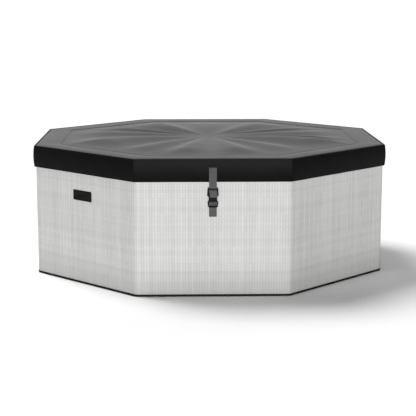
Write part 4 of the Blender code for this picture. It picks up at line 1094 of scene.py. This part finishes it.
def make_display():
    top = PANEL_HIGH.z
    middle_y = PANEL_LOW.y + (PANEL_HIGH.y - PANEL_LOW.y) / 2 + 0.020
    across, along, thick = 0.0676, 0.0276, 0.0006
    glass = primitive("cube", size=1)
    size = Matrix.Diagonal((across, along, thick, 1))
    glass.data.transform(Matrix.Translation((0, middle_y, top - thick)) @ size)
    applied(glass, "BEVEL", width=0.0002, segments=2)
    finished(named(glass, "panel_display"), "tub", "black_plastic", DISPLAY_GLASS)
    marks = []
    for digit, x in (("3", -0.011), ("8", 0.004)):
        for segment in SEGMENTS[digit]:
            across, up, turn = SEGMENT_PLACES[segment]
            place = (x + across * 0.0080, middle_y + up * 0.0068, top - 0.00022)
            marks.append(bar(0.0064, 0.0013, 0.0002, place, turn))
    marks.append(loop_mark(0.0014, 0.00035, (0.0125, middle_y + 0.0062, top - 0.0002)))
    finished(joined_pieces("display_digits", marks), "tub", "grey_plastic", ICON_PRINT)


def make_key_marks():
    """A plain mark on each key: a broken ring and bar, a flame's drop, three bubbles and a pair of signs."""
    for key in ("power", "heat", "bubbles", "temperature"):
        low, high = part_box(f"key_{key}")
        x, y, z = halfway(low.x, high.x), halfway(low.y, high.y), high.z + 0.00005
        if key == "power":
            ring = loop_mark(0.0032, 0.00035, (x, y, z), 70)
            marks = [ring, bar(0.0034, 0.0007, 0.0005, (x, y + 0.0026, z), 90)]
        elif key == "heat":
            right = [(0.0021, 0.0012), (0.0024, -0.0012), (0.0012, -0.0032)]
            flame = [(0, 0.0042), *right, *((-a, b) for a, b in right[::-1])]
            marks = [tube_along("mark", [(x + a, y + b, z) for a, b in flame], 0.00035, sides=4)]
        elif key == "bubbles":
            spots = [(-0.0026, -0.0014, 0.0019), (0.0020, -0.0010, 0.0014), (0.0002, 0.0026, 0.0011)]
            marks = [loop_mark(r, 0.0003, (x + a, y + b, z)) for a, b, r in spots]
        else:
            signs = ((-0.0040, 0), (0.0040, 0), (0.0040, 90))
            marks = [bar(0.0036, 0.0007, 0.0005, (x + a, y, z), turn) for a, turn in signs]
        finished(joined_pieces(f"mark_{key}", marks), f"key_{key}", "grey_plastic", ICON_PRINT)


def make_hatch_screws():
    """Six captive screws, each with a round recess in its head."""
    low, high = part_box("equipment_hatch")
    screws = []
    inset = 0.011
    for x in (low.x + inset, 0.0, high.x - inset):
        for z in (low.z + inset, high.z - inset):
            screw = primitive("cylinder", vertices=20, radius=0.0048, depth=0.0022)
            stepped(screw, lambda face: face.normal.z > 0.9, ((0.0009, 0.0005), (0.0016, -0.0012)))
            turn = Matrix.Rotation(-math.pi / 2, 4, "X")
            screw.data.transform(Matrix.Translation((x, high.y + 0.0011, z)) @ turn)
            screws.append(screw)
    finished(smoothed(joined_pieces("hatch_screws", screws)), "hatch", "steel")


def make_clamps():
    """Steel bands with a tightening screw round the heater's ends and the air hose."""
    low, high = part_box("heater_tube")
    radius = (high.y - low.y) / 2
    middle = (halfway(low.y, high.y), high.z - radius)
    ends = (low.x + 0.012, high.x - 0.012)
    bands = [(radius, Matrix.Translation((x, *middle)) @ quarter_turn("Y")) for x in ends]
    low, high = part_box("air_hose")
    blower_low, blower_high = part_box("blower_housing")
    place = (halfway(low.x, high.x), halfway(blower_low.y, blower_high.y), high.z - 0.008)
    bands.append(((high.x - low.x) / 2, Matrix.Translation(place)))
    made = []
    for radius, place in bands:
        around = dict(radius=radius + 0.0003, depth=0.008, end_fill_type="NOTHING")
        band = primitive("cylinder", vertices=40, **around)
        applied(band, "SOLIDIFY", thickness=0.0009, offset=1.0)
        applied(band, "BEVEL", width=0.0002, segments=1, limit_method="ANGLE")
        band.data.transform(place)
        box = primitive("cylinder", vertices=12, radius=0.0032, depth=0.013)
        applied(box, "BEVEL", width=0.0006, segments=2, limit_method="ANGLE")
        box.data.transform(place @ Matrix.Translation((0, radius + 0.0030, 0)) @ quarter_turn("Y"))
        made += [band, box]
    finished(smoothed(joined_pieces("hose_clamps", made)), "tub", "steel")


# ---- finish the rigid pieces that the frame already shapes
BEVEL_WIDTH, BEVEL_ANGLE = 0.0004, 32
WELD_WITHIN = 0.00002


def dress_cad(node):
    """Gives a rigid piece its finish, soft edges and flat faces."""
    obj = CAD[node]
    coated(obj, FINISHES[SLOT_OF[node]])
    angle = math.radians(BEVEL_ANGLE)
    tuned(obj.modifiers.new("weld", "WELD"), merge_threshold=WELD_WITHIN)
    edges = obj.modifiers.new("edges", "BEVEL")
    tuned(edges, width=BEVEL_WIDTH, segments=2, limit_method="ANGLE", angle_limit=angle)
    for face in obj.data.polygons:
        face.use_smooth = True
    tuned(obj.modifiers.new("flat_faces", "WEIGHTED_NORMAL"), keep_sharp=True, weight=100)
    clear_selection()


make_lid_top()
make_skirt()
make_piping()
make_lid_stitching()
make_corner_welts()
make_jacket()
make_upper_straps()
make_lower_straps()
make_badge()
make_base_sheet()
make_liner()
make_bubble_channel()
make_air_insert()
make_display()
make_key_marks()
make_hatch_screws()
make_clamps()
for node in CAD:
    if not CAD[node].hide_render:
        dress_cad(node)


# ---- camera, floor and light
def look_towards(obj, direction):
    obj.rotation_euler = Vector(direction).to_track_quat("-Z", "Y").to_euler()


def sunlight(name, towards, spread, strength):
    """A soft distant light that stands in the given direction."""
    light = bpy.data.lights.new(name, "SUN")
    light.angle, light.energy = math.radians(spread), strength
    look_towards(linked(bpy.data.objects.new(name, light)), -Vector(towards))


SKY_BACK, SKY_FRONT, BACKDROP = 1.35, 0.16, 1.04
KEY, FRONT = 2.85, 3.3
CAMERA_PLACE, CAMERA_AIM = (-0.1582, -6.5589, 1.4638), (0.02346, 0.98376, -0.17794)


def studio():
    camera = linked(bpy.data.objects.new("camera", bpy.data.cameras.new("camera")))
    camera.location = CAMERA_PLACE
    look_towards(camera, CAMERA_AIM)
    tuned(camera.data, lens=102.0, sensor_width=36.0, clip_end=200)
    bpy.context.scene.camera = camera

    floor = primitive("plane", size=1, location=(0, 0, 0))
    floor.name = "floor"
    floor.data.transform(Matrix.Translation((0, 28.3, 0)) @ Matrix.Diagonal((90, 63, 1, 1)))
    paint = Finish("floor_paint", Specular_IOR_Level=0.0)
    coated(floor, paint.looks((0.92, 0.92, 0.92), 1.0))

    world = bpy.data.worlds.new("studio")
    bpy.context.scene.world = world
    world.use_nodes = True
    sky = Nodes(world.node_tree)
    _, y, _ = sky.axes(sky.coordinates("Generated"))
    glow = y.ramp(0.3, 0.9) * SKY_BACK + (y * -1.0).ramp(0.0, 0.7) * SKY_FRONT
    seen = sky.node("LightPath")
    background = world.node_tree.nodes["Background"]
    background.inputs["Color"].default_value = (1, 1, 1, 1)
    sky.put(background.inputs["Strength"], glow * (1 - seen) + seen * BACKDROP)

    sunlight("key", (-0.75, 0.66, 1.45), 30, KEY)
    sunlight("front", (0.0, -1.0, 0.15), 24, FRONT)
    bpy.context.scene.view_settings.view_transform = "Standard"


studio()
